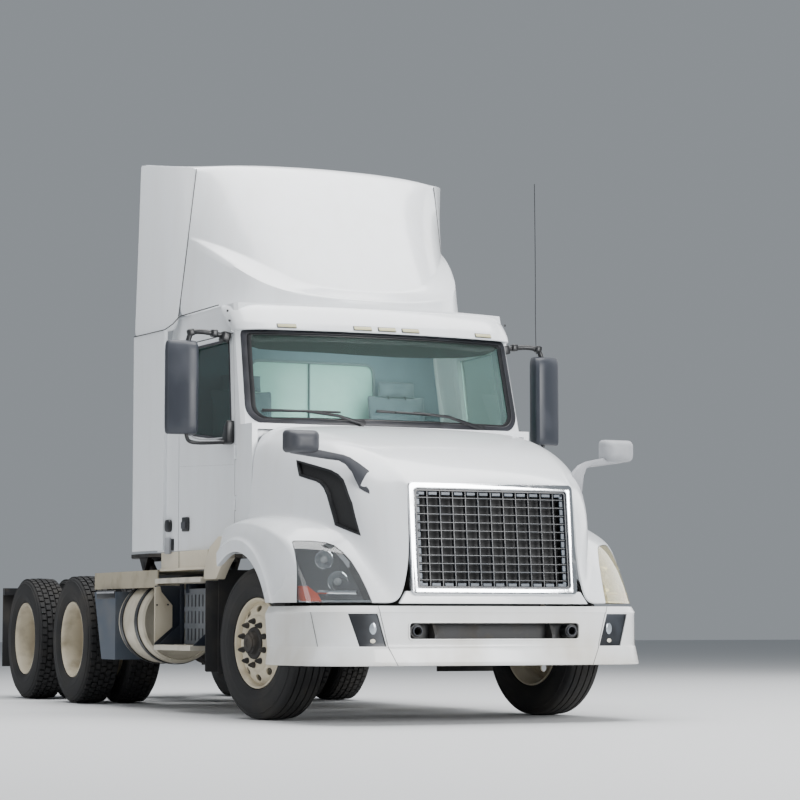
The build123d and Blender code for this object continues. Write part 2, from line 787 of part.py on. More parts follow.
firewall_back = firewall - cab_wall
cowl_wall = 40
with BuildPart() as cab_shell:
    add(lower_form(0, cowl_ahead, cab_floor))
    add(upper_form(0, cab_top))
    add(lower_form(cab_wall, firewall_back, cab_floor + cab_wall), mode=Mode.SUBTRACT)
    add(upper_form(cab_wall, cab_top - cab_wall), mode=Mode.SUBTRACT)
    cowl_half = side_half(cowl_ahead) - cowl_wall
    add(block(firewall, 0, -cowl_half, cowl_half, 0, cab_belt - cowl_wall), mode=Mode.SUBTRACT)

screen_outline = [(-990, 2010), (990, 2010), (966, 2638), (-966, 2638)]
back_window = (520, 1960, 2594)
door_window = [(-600, 1885), (-760, 2590), (-1400, 2590), (-1400, 1985)]
door_outline = [(-566, 1310), (-566, cab_belt), (-692, 2632), (-1482, 2632), (-1482, cab_floor),
                (-860, cab_floor)]
hinge_line = -552

with BuildPart() as door_openings:
    for side in (1, -1):
        with BuildSketch(side_plane(side * 1300 if side > 0 else -850)):
            with BuildLine():
                Polyline(*door_outline, close=True)
            make_face()
            offset(amount=panel_gap, kind=Kind.INTERSECTION)
        extrude(amount=450)
    add(lower_form(cab_wall + panel_gap, firewall_back, cab_floor - 20), mode=Mode.SUBTRACT)
    add(upper_form(cab_wall + panel_gap, cab_top), mode=Mode.SUBTRACT)
with BuildPart() as door_skin:
    add(lower_form(0, cowl_ahead, cab_floor))
    add(upper_form(0, cab_top))
    add(lower_form(cab_wall, cowl_ahead + 10, cab_floor - 20), mode=Mode.SUBTRACT)
    add(upper_form(cab_wall, cab_top), mode=Mode.SUBTRACT)

roof_joint = 2700
back_joint = cab_back + cab_wall
floor_joint = cab_floor + cab_wall
front_joint = -705
sill_corner = block(-780, front_joint, -1300, 1300, floor_joint, 1260)
with BuildPart() as cab_floor_panel:
    add(cab_shell.part)
    add(block(-1900, firewall, -1300, 1300, cab_floor, floor_joint), mode=Mode.INTERSECT)
    add(door_openings.part, mode=Mode.SUBTRACT)
save(cab_floor_panel.part, "cab_floor")
with BuildPart() as cab_back_panel:
    add(cab_shell.part)
    add(block(-1900, back_joint, -1300, 1300, floor_joint, roof_joint), mode=Mode.INTERSECT)
    add(block(-1900, back_joint, -back_window[0], back_window[0], back_window[1], back_window[2]),
        mode=Mode.SUBTRACT)
save(cab_back_panel.part, "cab_back")
with BuildPart() as cab_roof_panel:
    add(cab_shell.part)
    add(block(-1900, 0, -1300, 1300, roof_joint, cab_top), mode=Mode.INTERSECT)
save(cab_roof_panel.part, "cab_roof")
with BuildPart() as cab_side_panels:
    add(cab_shell.part)
    add(block(back_joint, front_joint, -1300, 1300, floor_joint, roof_joint), mode=Mode.INTERSECT)
    add(sill_corner, mode=Mode.SUBTRACT)
    add(door_openings.part, mode=Mode.SUBTRACT)
save(cab_side_panels.part, "cab_sides")
with BuildPart() as cab_front_panel:
    add(block(front_joint, 0, -1300, 1300, floor_joint, roof_joint))
    add(sill_corner)
    add(cab_shell.part, mode=Mode.INTERSECT)
    add(door_openings.part, mode=Mode.SUBTRACT)
    with BuildSketch(cross_plane(-800)):
        with BuildLine():
            Polyline(*screen_outline, close=True)
        make_face()
        fillet(vertices(), 45)
    extrude(amount=700, mode=Mode.SUBTRACT)
    for side in (1, -1):
        low, high = sorted((side * side_half(cowl_ahead), side * (side_half(cowl_ahead) - cowl_wall)))
        add(block(firewall, cowl_ahead, low, high, cab_floor, floor_joint))
    hinge_y = side_half(hinge_line)
    for z in (1450, 1800):
        for side in (1, -1):
            with Locations((ahead(hinge_line), side * hinge_y, z)):
                Cylinder(17, 104, mode=Mode.SUBTRACT)
            for drop in (-35, 35):
                with Locations((ahead(hinge_line), side * hinge_y, z + drop)):
                    Cylinder(12, 28)
                low, high = sorted((side * hinge_y, side * (hinge_y - 12)))
                add(block(hinge_line, hinge_line + 24, low, high, z + drop - 14, z + drop + 14))
            with Locations((ahead(hinge_line), side * hinge_y, z)):
                Cylinder(6, 96)
save(cab_front_panel.part, "cab_front")
with BuildPart() as cab_glass:
    add(upper_form(10, cab_top - 30))
    add(upper_form(10 + glass, cab_top - 30), mode=Mode.SUBTRACT)
    with BuildSketch(cross_plane(-800)):
        with BuildLine():
            Polyline(*screen_outline, close=True)
        make_face()
        fillet(vertices(), 45)
    extrude(amount=700, mode=Mode.INTERSECT)
    add(block(cab_back + 25, cab_back + 25 + glass, -back_window[0], back_window[0], back_window[1],
              back_window[2]))
save(cab_glass.part, "cab_glass")

# Doors with their glass and mirrors
for side, name in ((1, "left"), (-1, "right")):
    low, high = sorted((side * 850, side * 1300))
    with BuildPart() as door:
        add(door_skin.part)
        add(side_slab(door_outline, low, high), mode=Mode.INTERSECT)
        add(side_slab(door_window, low, high), mode=Mode.SUBTRACT)
        for z in (1450, 1800):
            with Locations((ahead(hinge_line), side * hinge_y, z)):
                Cylinder(17, 104, mode=Mode.SUBTRACT)
                Cylinder(12, 38)
            leaf = sorted((side * hinge_y, side * (hinge_y - 12)))
            add(block(hinge_line - 24, hinge_line, *leaf, z - 19, z + 19))
            with Locations((ahead(hinge_line), side * hinge_y, z)):
                Cylinder(6 + running_fit, 104, mode=Mode.SUBTRACT)
    save(door.part, f"door_{name}")
    with BuildPart() as pane:
        add(upper_form(25, cab_top - 30))
        add(lower_form(25, firewall_back, cab_floor))
        add(upper_form(25 + glass, cab_top - 30), mode=Mode.SUBTRACT)
        add(lower_form(25 + glass, firewall_back, cab_floor), mode=Mode.SUBTRACT)
        add(side_slab(door_window, low, high), mode=Mode.INTERSECT)
    save(pane.part, f"door_glass_{name}")
    mirror_y = side * 1408
    with BuildPart() as door_mirror:
        with BuildSketch(Plane(origin=(ahead(-700), mirror_y, 1923), x_dir=(1, 0, 0), z_dir=(0, 0, 1))):
            RectangleRounded(95, 214, 30)
        extrude(amount=647)
        add(rod((-740, side * 1050, 2600), (-735, side * 1310, 2632), 15))
        add(rod((-735, side * 1310, 2632), (-710, side * 1390, 2560), 15))
        add(rod((-606, side * 1085, 1905), (-690, side * 1320, 1890), 15))
        add(rod((-690, side * 1320, 1890), (-700, side * 1390, 1935), 15))
        with Locations((ahead(-606), side * 1090, 1930)):
            Box(60, 36, 150)
        with Locations((ahead(-750), side * 1050, 2608)):
            Box(70, 60, 40)
        add(upper_form(0, cab_top), mode=Mode.SUBTRACT)
        add(lower_form(0, cowl_ahead, cab_floor), mode=Mode.SUBTRACT)
    save(door_mirror.part, f"mirror_{name}")

# Sun visor over the windscreen, drawn from above at its low edge and where it meets the roof
visor_low = 2645
visor_wall = 14


def visor_form(inset, low, high):
    """Solid inside the visor's skin between two heights."""
    cuts = []
    for z in (low, high):
        rise = (z - visor_low) / (cab_top - visor_low)
        nose = -362 - 143 * rise - inset
        front = -435 - 155 * rise - inset
        end = -598 - 237 * rise - inset
        half = 1056 + 16 * rise - inset
        tail = -640 - 240 * rise - inset
        turn = (-505 - 125 * rise - inset, 985 + 15 * rise - inset)
        with BuildSketch(plan_plane(z)) as level:
            with BuildLine():
                ThreePointArc((front, -800), (nose, 0), (front, 800))
                for side in (1, -1):
                    ThreePointArc((front, side * 800), (turn[0], side * turn[1]), (end, side * half))
                    Line((end, side * half), (tail, side * half))
                Line((tail, half), (tail, -half))
            make_face()
        cuts.append(level.sketch)
    with BuildPart() as form:
        loft(sections=cuts, ruled=True)
    return form.part


with BuildPart() as sun_visor:
    add(visor_form(0, visor_low, cab_top))
    add(visor_form(visor_wall, visor_low - 20, cab_top - 40), mode=Mode.SUBTRACT)
    add(upper_form(0, cab_top), mode=Mode.SUBTRACT)
save(sun_visor.part, "sun_visor")

# Roof deflector: a tall shell over a wider skirt, each lofted through level cuts from the rear edge round the
# front, with the skirt's top cut off along a line that runs down from the seam
deflector_levels = (
    # height, rear edge ahead and half width, seam half width, side end ahead and half, front start, nose
    (2754, -2240, 1234, 1097, -1200, 980, -850, 480, -760),
    (3010, -2217, 1234, 1080, -1300, 980, -890, 500, -800),
    (3300, -2195, 1234, 1040, -1480, 955, -1060, 540, -965),
    (3450, -2180, 1234, 1012, -1560, 970, -1170, 540, -1080),
    (4037, -2130, 1234, 955, -1660, 945, -1625, 600, -1600),
)
skirt_levels = (
    (2770, -1760, 1030, 1102, -1340, 1030, -630, 400, -585),
    (2900, -1760, 1025, 1096, -1350, 1020, -640, 400, -595),
    (3100, -1760, 1000, 1074, -1400, 960, -690, 380, -650),
    (3460, -1760, 940, 1015, -1560, 960, -850, 360, -800),
)
skirt_top = ((-1683, 3450), (-1450, 3360), (-1270, 3275), (-1110, 3175), (-955, 3095), (-820, 3005),
             (-700, 2945), (-600, 2905), (-400, 2840))
corner_fullness = 0.68


def level_cut(level, inset, rear_extra):
    """Level cut through the deflector's skin."""
    z, rear, wide, seam, side_ahead, side_wide, front, front_wide, nose = level
    wide -= inset
    side_end = (side_ahead - inset, side_wide - inset)
    front_start = (front - inset, front_wide - inset)
    corner = (side_ahead + corner_fullness * (front - side_ahead) - inset,
              front_wide + corner_fullness * (side_wide - front_wide) - inset)
    with BuildSketch(plan_plane(z)) as cut:
        with BuildLine():
            Line((rear - rear_extra, -wide), (rear - rear_extra, wide))
            for side in (1, -1):
                Line((rear - rear_extra, side * wide), (seam_ahead, side * (seam - inset)))
                Line((seam_ahead, side * (seam - inset)), (side_end[0], side * side_end[1]))
                ThreePointArc((side_end[0], side * side_end[1]), (corner[0], side * corner[1]),
                              (front_start[0], side * front_start[1]))
            ThreePointArc((front_start[0], -front_start[1]), (nose - inset, 0), front_start)
        make_face()
    return cut.sketch


def deflector_form(levels, inset, rear_extra):
    """Solid inside the skin that the levels give."""
    with BuildPart() as form:
        loft(sections=[level_cut(level, inset, rear_extra) for level in levels])
    return form.part


def under_skirt_top(drop):
    """Space below the skirt's top line, lowered by drop."""
    with BuildPart() as space:
        with BuildSketch(side_plane(1300)):
            with BuildLine():
                top = [(x, z - drop) for x, z in skirt_top]
                Spline(*top)
                Polyline(top[-1], (-400, 2600), (-2500, 2600), (-2500, 3450 - drop), top[0])
            make_face()
        extrude(amount=2600)
    return space.part


with BuildPart() as deflector_outer:
    add(deflector_form(skirt_levels, 0, 0))
    add(under_skirt_top(0), mode=Mode.INTERSECT)
    add(deflector_form(deflector_levels, 0, 0))
with BuildPart() as deflector_inner:
    add(deflector_form(skirt_levels, deflector_wall, 60))
    add(under_skirt_top(deflector_wall), mode=Mode.INTERSECT)
    add(deflector_form(deflector_levels, deflector_wall, 60))
with BuildPart() as roof_deflector:
    add(deflector_outer.part)
    add(deflector_inner.part, mode=Mode.SUBTRACT)
    add(block(seam_ahead + 5, -300, -1300, 1300, 2600, cab_top + seat_gap), mode=Mode.SUBTRACT)
    with BuildSketch(plan_plane(deflector_top - deflector_wall)):
        with BuildLine():
            Polyline((-2130, -1225), (-2130, 1225), (seam_ahead, 945), (-1645, 930), (-1590, 500),
                     (-1590, -500), (-1645, -930), (seam_ahead, -945), close=True)
        make_face()
    extrude(amount=deflector_wall)
    add(block(-2300, -400, -1300, 1300, deflector_top, deflector_top + 400), mode=Mode.SUBTRACT)
save(roof_deflector.part, "roof_deflector")

# Extenders that close the gap behind the cab
with BuildPart() as side_extenders:
    for side in (1, -1):
        add(plan_slab([(-1700, side * (side_half(-1700) + seat_gap)), (-1700, side * 1192), (-2255, side * 1237),
                       (-2255, side * (1237 - extender_wall)), (cab_back, side * (cab_half_back + 3)),
                       (cab_back, side * (cab_half_back + seat_gap))], 1157, 2753))
save(side_extenders.part, "side_extenders")

# Bonnet: a nose lofted through cuts across the vehicle, with a fender lofted on each side
nose_cuts = (
    # ahead, half width low, half width under the shoulder, crown height, shoulder radius, crown drop
    (-285, 1046, 1030, 1985, 150, 40),
    (300, 975, 925, 1905, 190, 42),
    (780, 860, 790, 1785, 200, 36),
    (1060, 735, 655, 1655, 140, 24),
    (1320, 600, 560, 1495, 60, 10),
)
fender_cuts = (
    # ahead, outer half width, top height, shoulder radius
    (-440, 1196, 1252, 60),
    (0, 1236, 1335, 90),
    (480, 1232, 1305, 110),
    (800, 1212, 1228, 140),
    (1010, 1130, 1105, 150),
    (1290, 800, 790, 20),
)


def nose_form(inset, low):
    """Solid inside the nose's skin."""
    cuts = []
    for place, half_low, half_high, crown, shoulder, drop in nose_cuts:
        edge = crown - drop - inset
        with BuildSketch(cross_plane(place)) as cut:
            with BuildLine():
                wide = half_high - inset
                turn = 0.3 * shoulder
                Line((-half_low + inset, low), (half_low - inset, low))
                for s in (1, -1):
                    Line((s * (half_low - inset), low), (s * wide, edge - shoulder))
                    ThreePointArc((s * wide, edge - shoulder), (s * (wide - turn), edge - turn),
                                  (s * (wide - shoulder), edge))
                ThreePointArc((-wide + shoulder, edge), (0, crown - inset), (wide - shoulder, edge))
            make_face()
        cuts.append(cut.sketch)
    with BuildPart() as form:
        loft(sections=cuts)
    return form.part


def fender_form(inset, low):
    """Solid inside the left fender's skin."""
    cuts = []
    for place, outer, top, shoulder in fender_cuts:
        wide = outer - inset
        high = top - inset
        turn = 0.3 * shoulder
        with BuildSketch(cross_plane(place - (inset if place > 0 else 0))) as cut:
            with BuildLine():
                Polyline((wide, high - shoulder), (wide, low), (500, low), (500, high), (wide - shoulder, high))
                ThreePointArc((wide - shoulder, high), (wide - turn, high - turn), (wide, high - shoulder))
            make_face()
        cuts.append(cut.sketch)
    with BuildPart() as form:
        loft(sections=cuts)
    return form.part


face_lean = (grille_bottom[0] - grille_top[0]) / (grille_top[1] - grille_bottom[1])
face_centre = ((grille_top[0] + grille_bottom[0]) / 2, (grille_top[1] + grille_bottom[1]) / 2)
face_plane = Plane(origin=(ahead(face_centre[0]), 0, face_centre[1]), x_dir=(0, 1, 0), z_dir=(1, 0, face_lean))
face_half_height = sqrt((grille_top[1] - grille_bottom[1]) ** 2 + (grille_bottom[0] - grille_top[0]) ** 2) / 2
lamp_outline = [(1192, bonnet_bottom - 5), (1152, 1150), (1060, 1152), (950, 1128), (886, 1040), (850, 920),
                (824, bonnet_bottom - 5)]
vent_outline = [(60, 1712), (420, 1650), (560, 1600), (800, 1190), (520, 1275), (410, 1540), (330, 1590),
                (100, 1615)]

# Gooseneck arm about the hinge pin, which clears the bumper's top edge when the bonnet is open
hinge_arm = ((0, 26), (-100, 75), (-72, 130), (52, 130), (52, 170), (-105, 170), (-140, 150), (-140, 70),
             (-24, -14))

with BuildPart() as nose_outer:
    add(nose_form(0, bonnet_bottom))
    with BuildSketch(face_plane):
        Rectangle(3000, 3000)
    extrude(amount=600, mode=Mode.SUBTRACT)
with BuildPart() as nose_inner:
    add(nose_form(bonnet_wall, bonnet_bottom - 60))
    with BuildSketch(face_plane.offset(-bonnet_wall)):
        Rectangle(3000, 3000)
    extrude(amount=600, mode=Mode.SUBTRACT)
    add(block(-400, -280, -1028, 1028, bonnet_bottom, 1920))
with BuildPart() as fender_outer:
    add(fender_form(0, bonnet_bottom))
    mirror(about=Plane.XZ)
with BuildPart() as fender_inner:
    add(fender_form(bonnet_wall, bonnet_bottom - 60))
    mirror(about=Plane.XZ)
with BuildPart() as lamp_zone:
    with BuildSketch(cross_plane(640)):
        with BuildLine():
            Polyline(*lamp_outline, close=True)
        make_face()
    extrude(amount=700)
    mirror(about=Plane.XZ)
with BuildPart() as vent_zone:
    with BuildSketch(side_plane(1400)):
        with BuildLine():
            Polyline(*vent_outline, close=True)
        make_face()
    extrude(amount=900)
    mirror(about=Plane.XZ)

with BuildPart() as bonnet:
    add(nose_outer.part)
    add(fender_outer.part)
    add(nose_inner.part, mode=Mode.SUBTRACT)
    add(fender_inner.part, mode=Mode.SUBTRACT)
    for side in (1, -1):
        with BuildSketch(side_plane(flare_face if side > 0 else -1180)):
            with Locations((arch_ahead, arch_z)):
                Circle(arch_radius + 85)
                Circle(arch_radius - 10, mode=Mode.SUBTRACT)
        extrude(amount=flare_face - 1180)
    add(block(-2000, arch_ahead - 330, -1300, 1300, 0, 1060), mode=Mode.SUBTRACT)
    add(block(-2000, 2000, -1300, 1300, -400, bonnet_bottom), mode=Mode.SUBTRACT)
    add(block(-2000, bonnet_rear, -1088, 1088, 0, 3000), mode=Mode.SUBTRACT)
    with BuildSketch(side_plane(1300)):
        with Locations((arch_ahead, arch_z)):
            Circle(arch_radius)
    extrude(amount=2600, mode=Mode.SUBTRACT)
    with BuildSketch(side_plane(1190)):
        with Locations((arch_ahead + 60, arch_z)):
            Circle(well_radius)
    extrude(amount=2380, mode=Mode.SUBTRACT)
    add(lamp_zone.part, mode=Mode.SUBTRACT)
    add(vent_zone.part, mode=Mode.SUBTRACT)
    with BuildSketch(face_plane):
        Rectangle(2 * grille_half + 30, 2 * grille_half_height + 30)
    extrude(amount=-80, mode=Mode.SUBTRACT)
    with BuildSketch(face_plane.offset(-seat_gap)):
        Rectangle(2 * (grille_half + surround_band + 1), 3000)
    extrude(amount=300, mode=Mode.SUBTRACT)
    for side in (1, -1):
        low, high = sorted((side * (rail_face + 5), side * (rail_face + 5 + hinge_arm_width)))
        with BuildSketch(side_plane(high)):
            with BuildLine():
                Polyline(*((hinge_ahead + x, hinge_z + z) for x, z in hinge_arm), close=True)
            make_face()
            with Locations((hinge_ahead, hinge_z)):
                Circle(28)
                Circle(hinge_pin + running_fit, mode=Mode.SUBTRACT)
        extrude(amount=high - low)
save(bonnet.part, "bonnet")

lamp_depth = 110
with BuildPart() as headlamps:
    add(fender_outer.part)
    with Locations((-lamp_depth, 0, 0)):
        add(fender_inner.part, mode=Mode.SUBTRACT)
    add(lamp_zone.part, mode=Mode.INTERSECT)
save(headlamps.part, "headlamps")

with BuildPart() as bonnet_vents:
    add(nose_form(5, bonnet_bottom))
    add(nose_form(bonnet_wall, bonnet_bottom - 60), mode=Mode.SUBTRACT)
    add(vent_zone.part, mode=Mode.INTERSECT)
save(bonnet_vents.part, "bonnet_vents")

with BuildPart() as grille_surround:
    with BuildSketch(face_plane):
        RectangleRounded(2 * (grille_half + surround_band), 2 * face_half_height, 30)
        RectangleRounded(2 * grille_half, 2 * grille_half_height, 12, mode=Mode.SUBTRACT)
    extrude(amount=10)
    with BuildSketch(face_plane):
        Rectangle(2 * grille_half + 30 - 2 * seat_gap, 2 * grille_half_height + 30 - 2 * seat_gap)
        Rectangle(2 * grille_half, 2 * grille_half_height, mode=Mode.SUBTRACT)
    extrude(amount=-50)
save(grille_surround.part, "grille_surround")
bar_pitch_y = 79
bar_pitch_z = 52
with BuildPart() as grille:
    with BuildSketch(face_plane.offset(-45)):
        Rectangle(2 * (grille_half - seat_gap), 2 * (grille_half_height - seat_gap))
        with GridLocations(bar_pitch_y, bar_pitch_z, 13, 12):
            Rectangle(bar_pitch_y - 9, bar_pitch_z - 7, mode=Mode.SUBTRACT)
    extrude(amount=40)
save(grille.part, "grille")

# Mirrors on the bonnet's shoulders
with BuildPart() as bonnet_mirrors:
    with BuildSketch(cross_plane(770)):
        with Locations((1143, 1787)):
            RectangleRounded(230, 145, 30)
    extrude(amount=90)
    add(rod((1046, 690, 1432), (1010, 779, 1495), 22))
    add(rod((1010, 779, 1495), (850, 838, 1672), 22))
    add(rod((850, 838, 1672), (830, 928, 1722), 24))
    add(rod((830, 928, 1722), (815, 1060, 1735), 24))
    for knot in ((1010, 779, 1495), (850, 838, 1672), (830, 928, 1722)):
        with Locations((ahead(knot[0]), knot[1], knot[2])):
            Sphere(24)
    mirror(about=Plane.XZ)
    add(nose_outer.part, mode=Mode.SUBTRACT)
save(bonnet_mirrors.part, "bonnet_mirrors")

# Fog lamps in the bumper's corners and stop lamps at the tail
with BuildPart() as fog_zone:
    with BuildSketch(cross_plane(1000)):
        with BuildLine():
            Polyline((808, 694), (988, 694), (935, 488), (862, 488), close=True)
        make_face()
    extrude(amount=400)
    mirror(about=Plane.XZ)

with BuildPart() as fog_lamps:
    add(bumper_ring(bumper_crease, 0, 60))
    extrude(amount=bumper_top - bumper_crease, dir=(0, 0, 1))
    add(fog_zone.part, mode=Mode.INTERSECT)
save(Compound(children=[*fog_lamps.part.solids(), *rear_lamps.part.solids()]), "chassis_lamps")
with BuildPart() as bumper_shell:
    add(bumper.part)
    add(fog_zone.part, mode=Mode.SUBTRACT)
save(bumper_shell.part, "bumper")

# Skirts below and ahead of the doors
with BuildPart() as skirts:
    for side in (1, -1):
        add(block(-1830, -930, *sorted((side * 1050, side * 1130)), 1005, cab_floor - seat_gap))
        with BuildSketch(side_plane(side * 1180 if side > 0 else -1106)):
            with BuildLine():
                Polyline((-455, 1225), (-575, 1225), (-830, 1105), (-880, 1000), (-905, 880), (-905, 700), (-800, 700))
                RadiusArc((-800, 700), (-455, 1070), 760)
                Line((-455, 1070), (-455, 1225))
            make_face()
        extrude(amount=74)
save(skirts.part, "skirts")

# Wipers parked low on the windscreen
wiper_knuckle = 12
with BuildPart() as wipers:
    for pivot, tip, blade_a, blade_b in (
        ((-300, -246, 2000), (-355, -640, 2082), (-415, -930, 2088), (-306, -400, 2080)),
        ((-352, 700, 1998), (-292, 210, 2090), (-292, -125, 2094), (-312, 430, 2080)),
    ):
        add(rod(pivot, tip, 9))
        add(rod(blade_a, blade_b, 9))
        with Locations((ahead(pivot[0]), pivot[1], pivot[2])):
            Sphere(wiper_knuckle)
    add(upper_form(0, cab_top), mode=Mode.SUBTRACT)
    add(lower_form(0, cowl_ahead, cab_floor), mode=Mode.SUBTRACT)
save(wipers.part, "wipers")

# Dashboard with the steering column
column_lean = 38
column_axis = (-sin(radians(column_lean)), cos(radians(column_lean)))
wheel_centre = (-900, 520, 1850)
column_foot = (wheel_centre[0] - column_axis[0] * 330, wheel_centre[1], wheel_centre[2] - column_axis[1] * 330)
column_head = (wheel_centre[0] - column_axis[0] * 70, wheel_centre[1], wheel_centre[2] - column_axis[1] * 70)
with BuildPart() as dashboard:
    with BuildSketch(side_plane(980)):
        with BuildLine():
            Polyline((firewall_back, 1905), (-620, 1918), (-735, 1870), (-765, 1700), (-700, 1500),
                     (firewall_back, 1440), close=True)
        make_face()
    extrude(amount=1960)
    add(rod(column_foot, column_head, 42))
    add(rod(column_foot, wheel_centre, 12))
save(dashboard.part, "dashboard")
with BuildPart() as steering_wheel:
    wheel_plane = Plane(origin=(ahead(wheel_centre[0]), wheel_centre[1], wheel_centre[2]), x_dir=(0, 1, 0),
                        z_dir=(column_axis[0], 0, column_axis[1]))
    with BuildSketch(wheel_plane.offset(-62)):
        Circle(58)
        Circle(12 + running_fit, mode=Mode.SUBTRACT)
    extrude(amount=72)
    with BuildSketch(wheel_plane.offset(10)):
        Circle(58)
    extrude(amount=12)
    with BuildSketch(wheel_plane.offset(-20)):
        with PolarLocations(120, 3, start_angle=90):
            Rectangle(200, 34)
        Circle(40, mode=Mode.SUBTRACT)
    extrude(amount=14)
    with BuildSketch(Plane(origin=wheel_plane.origin, x_dir=wheel_plane.x_dir, z_dir=wheel_plane.y_dir)):
        with Locations((225, 0)):
            Circle(17)
    revolve(axis=Axis(wheel_plane.origin, wheel_plane.z_dir))
save(steering_wheel.part, "steering_wheel")

# Seats
seat_y = 620
with BuildPart() as seats:
    for y in (-seat_y, seat_y):
        add(block(-1560, -1180, y - 190, y + 190, floor_joint, 1500))
        add(block(-1640, -1130, y - 255, y + 255, 1500, 1640))
        add(side_slab([(-1600, 1600), (-1480, 1600), (-1570, 2330), (-1680, 2330)], y - 240, y + 240))
        add(side_slab([(-1680, 2320), (-1575, 2320), (-1590, 2440), (-1685, 2440)], y - 160, y + 160))
save(seats.part, "seats")
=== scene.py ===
import json
import math
import bpy
from mathutils import Matrix, Vector


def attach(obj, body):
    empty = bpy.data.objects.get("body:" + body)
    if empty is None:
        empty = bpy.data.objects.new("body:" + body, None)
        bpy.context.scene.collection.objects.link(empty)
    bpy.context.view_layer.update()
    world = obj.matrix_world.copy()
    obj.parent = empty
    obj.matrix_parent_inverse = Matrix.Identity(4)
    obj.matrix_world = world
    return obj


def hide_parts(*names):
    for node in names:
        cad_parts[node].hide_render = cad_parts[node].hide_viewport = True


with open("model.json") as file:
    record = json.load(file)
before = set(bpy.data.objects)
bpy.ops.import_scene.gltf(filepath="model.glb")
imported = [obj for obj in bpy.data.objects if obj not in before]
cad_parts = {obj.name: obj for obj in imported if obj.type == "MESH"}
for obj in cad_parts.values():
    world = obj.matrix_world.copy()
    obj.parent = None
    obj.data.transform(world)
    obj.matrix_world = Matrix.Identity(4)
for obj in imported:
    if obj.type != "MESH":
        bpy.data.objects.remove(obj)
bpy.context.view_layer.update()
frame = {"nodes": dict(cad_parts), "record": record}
bpy.ops.object.select_all(action="DESELECT")

frontAxleX = 2.2395  # the front axle in the frame's own coordinates, metres


def ahead(distance):
    return frontAxleX + distance


def toLinear(hexColour, alpha=1.0):
    parts = [int(hexColour[i:i + 2], 16) / 255 for i in (1, 3, 5)]
    linear = [p / 12.92 if p <= 0.04045 else ((p + 0.055) / 1.055) ** 2.4 for p in parts]
    return (*linear, alpha)


# camera, stage and lights
cameraPlace = {
    "position": (18.2475, -7.368, 0.646),
    "heading": 155.542,  # degrees from +X to the line of sight
    "pitch": 4.889,
    "roll": 0.01,
    "focalPixels": 2587.5,
    "framePixels": 800,
}


def addCamera(place):
    data = bpy.data.cameras.new("photoCamera")
    data.sensor_width = 36
    data.sensor_fit = "HORIZONTAL"
    data.lens = 36 * place["focalPixels"] / place["framePixels"]
    data.clip_end = 200
    camera = bpy.data.objects.new("photoCamera", data)
    bpy.context.scene.collection.objects.link(camera)
    turn = Matrix.Rotation(math.radians(place["heading"] - 90), 4, "Z")
    turn = turn @ Matrix.Rotation(math.radians(90 + place["pitch"]), 4, "X")
    turn = turn @ Matrix.Rotation(math.radians(place["roll"]), 4, "Z")
    camera.matrix_world = Matrix.Translation(place["position"]) @ turn
    bpy.context.scene.camera = camera


addCamera(cameraPlace)


def addStage():
    bpy.ops.mesh.primitive_plane_add(size=120, location=(0, 0, 0))
    floor = bpy.context.object
    floor.name = "studioFloor"
    material = bpy.data.materials.new("paleStudioFloor")
    material.use_nodes = True
    shader = material.node_tree.nodes["Principled BSDF"]
    shader.inputs["Base Color"].default_value = toLinear("#c9cacb")
    shader.inputs["Roughness"].default_value = 0.75
    floor.data.materials.append(material)
    world = bpy.data.worlds.new("paleStudio")
    world.use_nodes = True
    sky = world.node_tree.nodes["Background"]
    sky.inputs["Color"].default_value = toLinear("#c3cad1")
    sky.inputs["Strength"].default_value = 0.50
    bpy.context.scene.world = world


studioLights = {
    "overhead": {"place": (1.0, 0.5, 13.0), "aim": (0.5, 0, 1.5), "size": 13.0, "watts": 3800},
    "frontSoft": {"place": (15.0, 3.5, 5.0), "aim": (1.5, 0, 1.8), "size": 6.0, "watts": 2100},
    "cabLamp": {"place": (1.29, 0.25, 2.50), "aim": (0.45, 0.0, 2.15), "size": 0.8, "watts": 13},
    "sideFill": {"place": (3.0, -13.0, 5.0), "aim": (0, -1, 1.5), "size": 8.0, "watts": 380},
    "farFill": {"place": (-2.0, 12.0, 6.0), "aim": (0, 1, 1.5), "size": 8.0, "watts": 500},
}


def addLights(lights):
    for name, values in lights.items():
        data = bpy.data.lights.new(name, "AREA")
        data.size = values["size"]
        data.energy = values["watts"]
        lamp = bpy.data.objects.new(name, data)
        bpy.context.scene.collection.objects.link(lamp)
        place = Vector(values["place"])
        aim = Vector(values["aim"]) - place
        lamp.matrix_world = Matrix.Translation(place) @ aim.to_track_quat("-Z", "Y").to_matrix().to_4x4()


addStage()
addLights(studioLights)
print("stage ready")


# materials: each is one finish, some with painted light or shade as noted, its pattern on Object coordinates in
# metres
def addNode(material, kind, inputs=None, **settings):
    node = material.node_tree.nodes.new(kind)
    for name, value in settings.items():
        setattr(node, name, value)
    for socket, value in (inputs or {}).items():
        shown = [s for s in node.inputs if s.enabled and s.name == socket]  # a Mix node repeats its names
        target = shown[0] if shown else node.inputs[socket]
        if isinstance(value, bpy.types.NodeSocket):
            material.node_tree.links.new(value, target)
        else:
            target.default_value = value
    return node


def newMaterial(name):
    material = bpy.data.materials.new(name)
    material.use_nodes = True
    shader = material.node_tree.nodes["Principled BSDF"]
    place = addNode(material, "ShaderNodeTexCoord").outputs["Object"]
    return material, shader, place


def setShader(material, shader, **values):
    for name, value in values.items():
        socket = shader.inputs[name.replace("_", " ")]
        if isinstance(value, bpy.types.NodeSocket):
            material.node_tree.links.new(value, socket)
        else:
            socket.default_value = value


colourResult = 2  # place of the colour among a Mix node's outputs


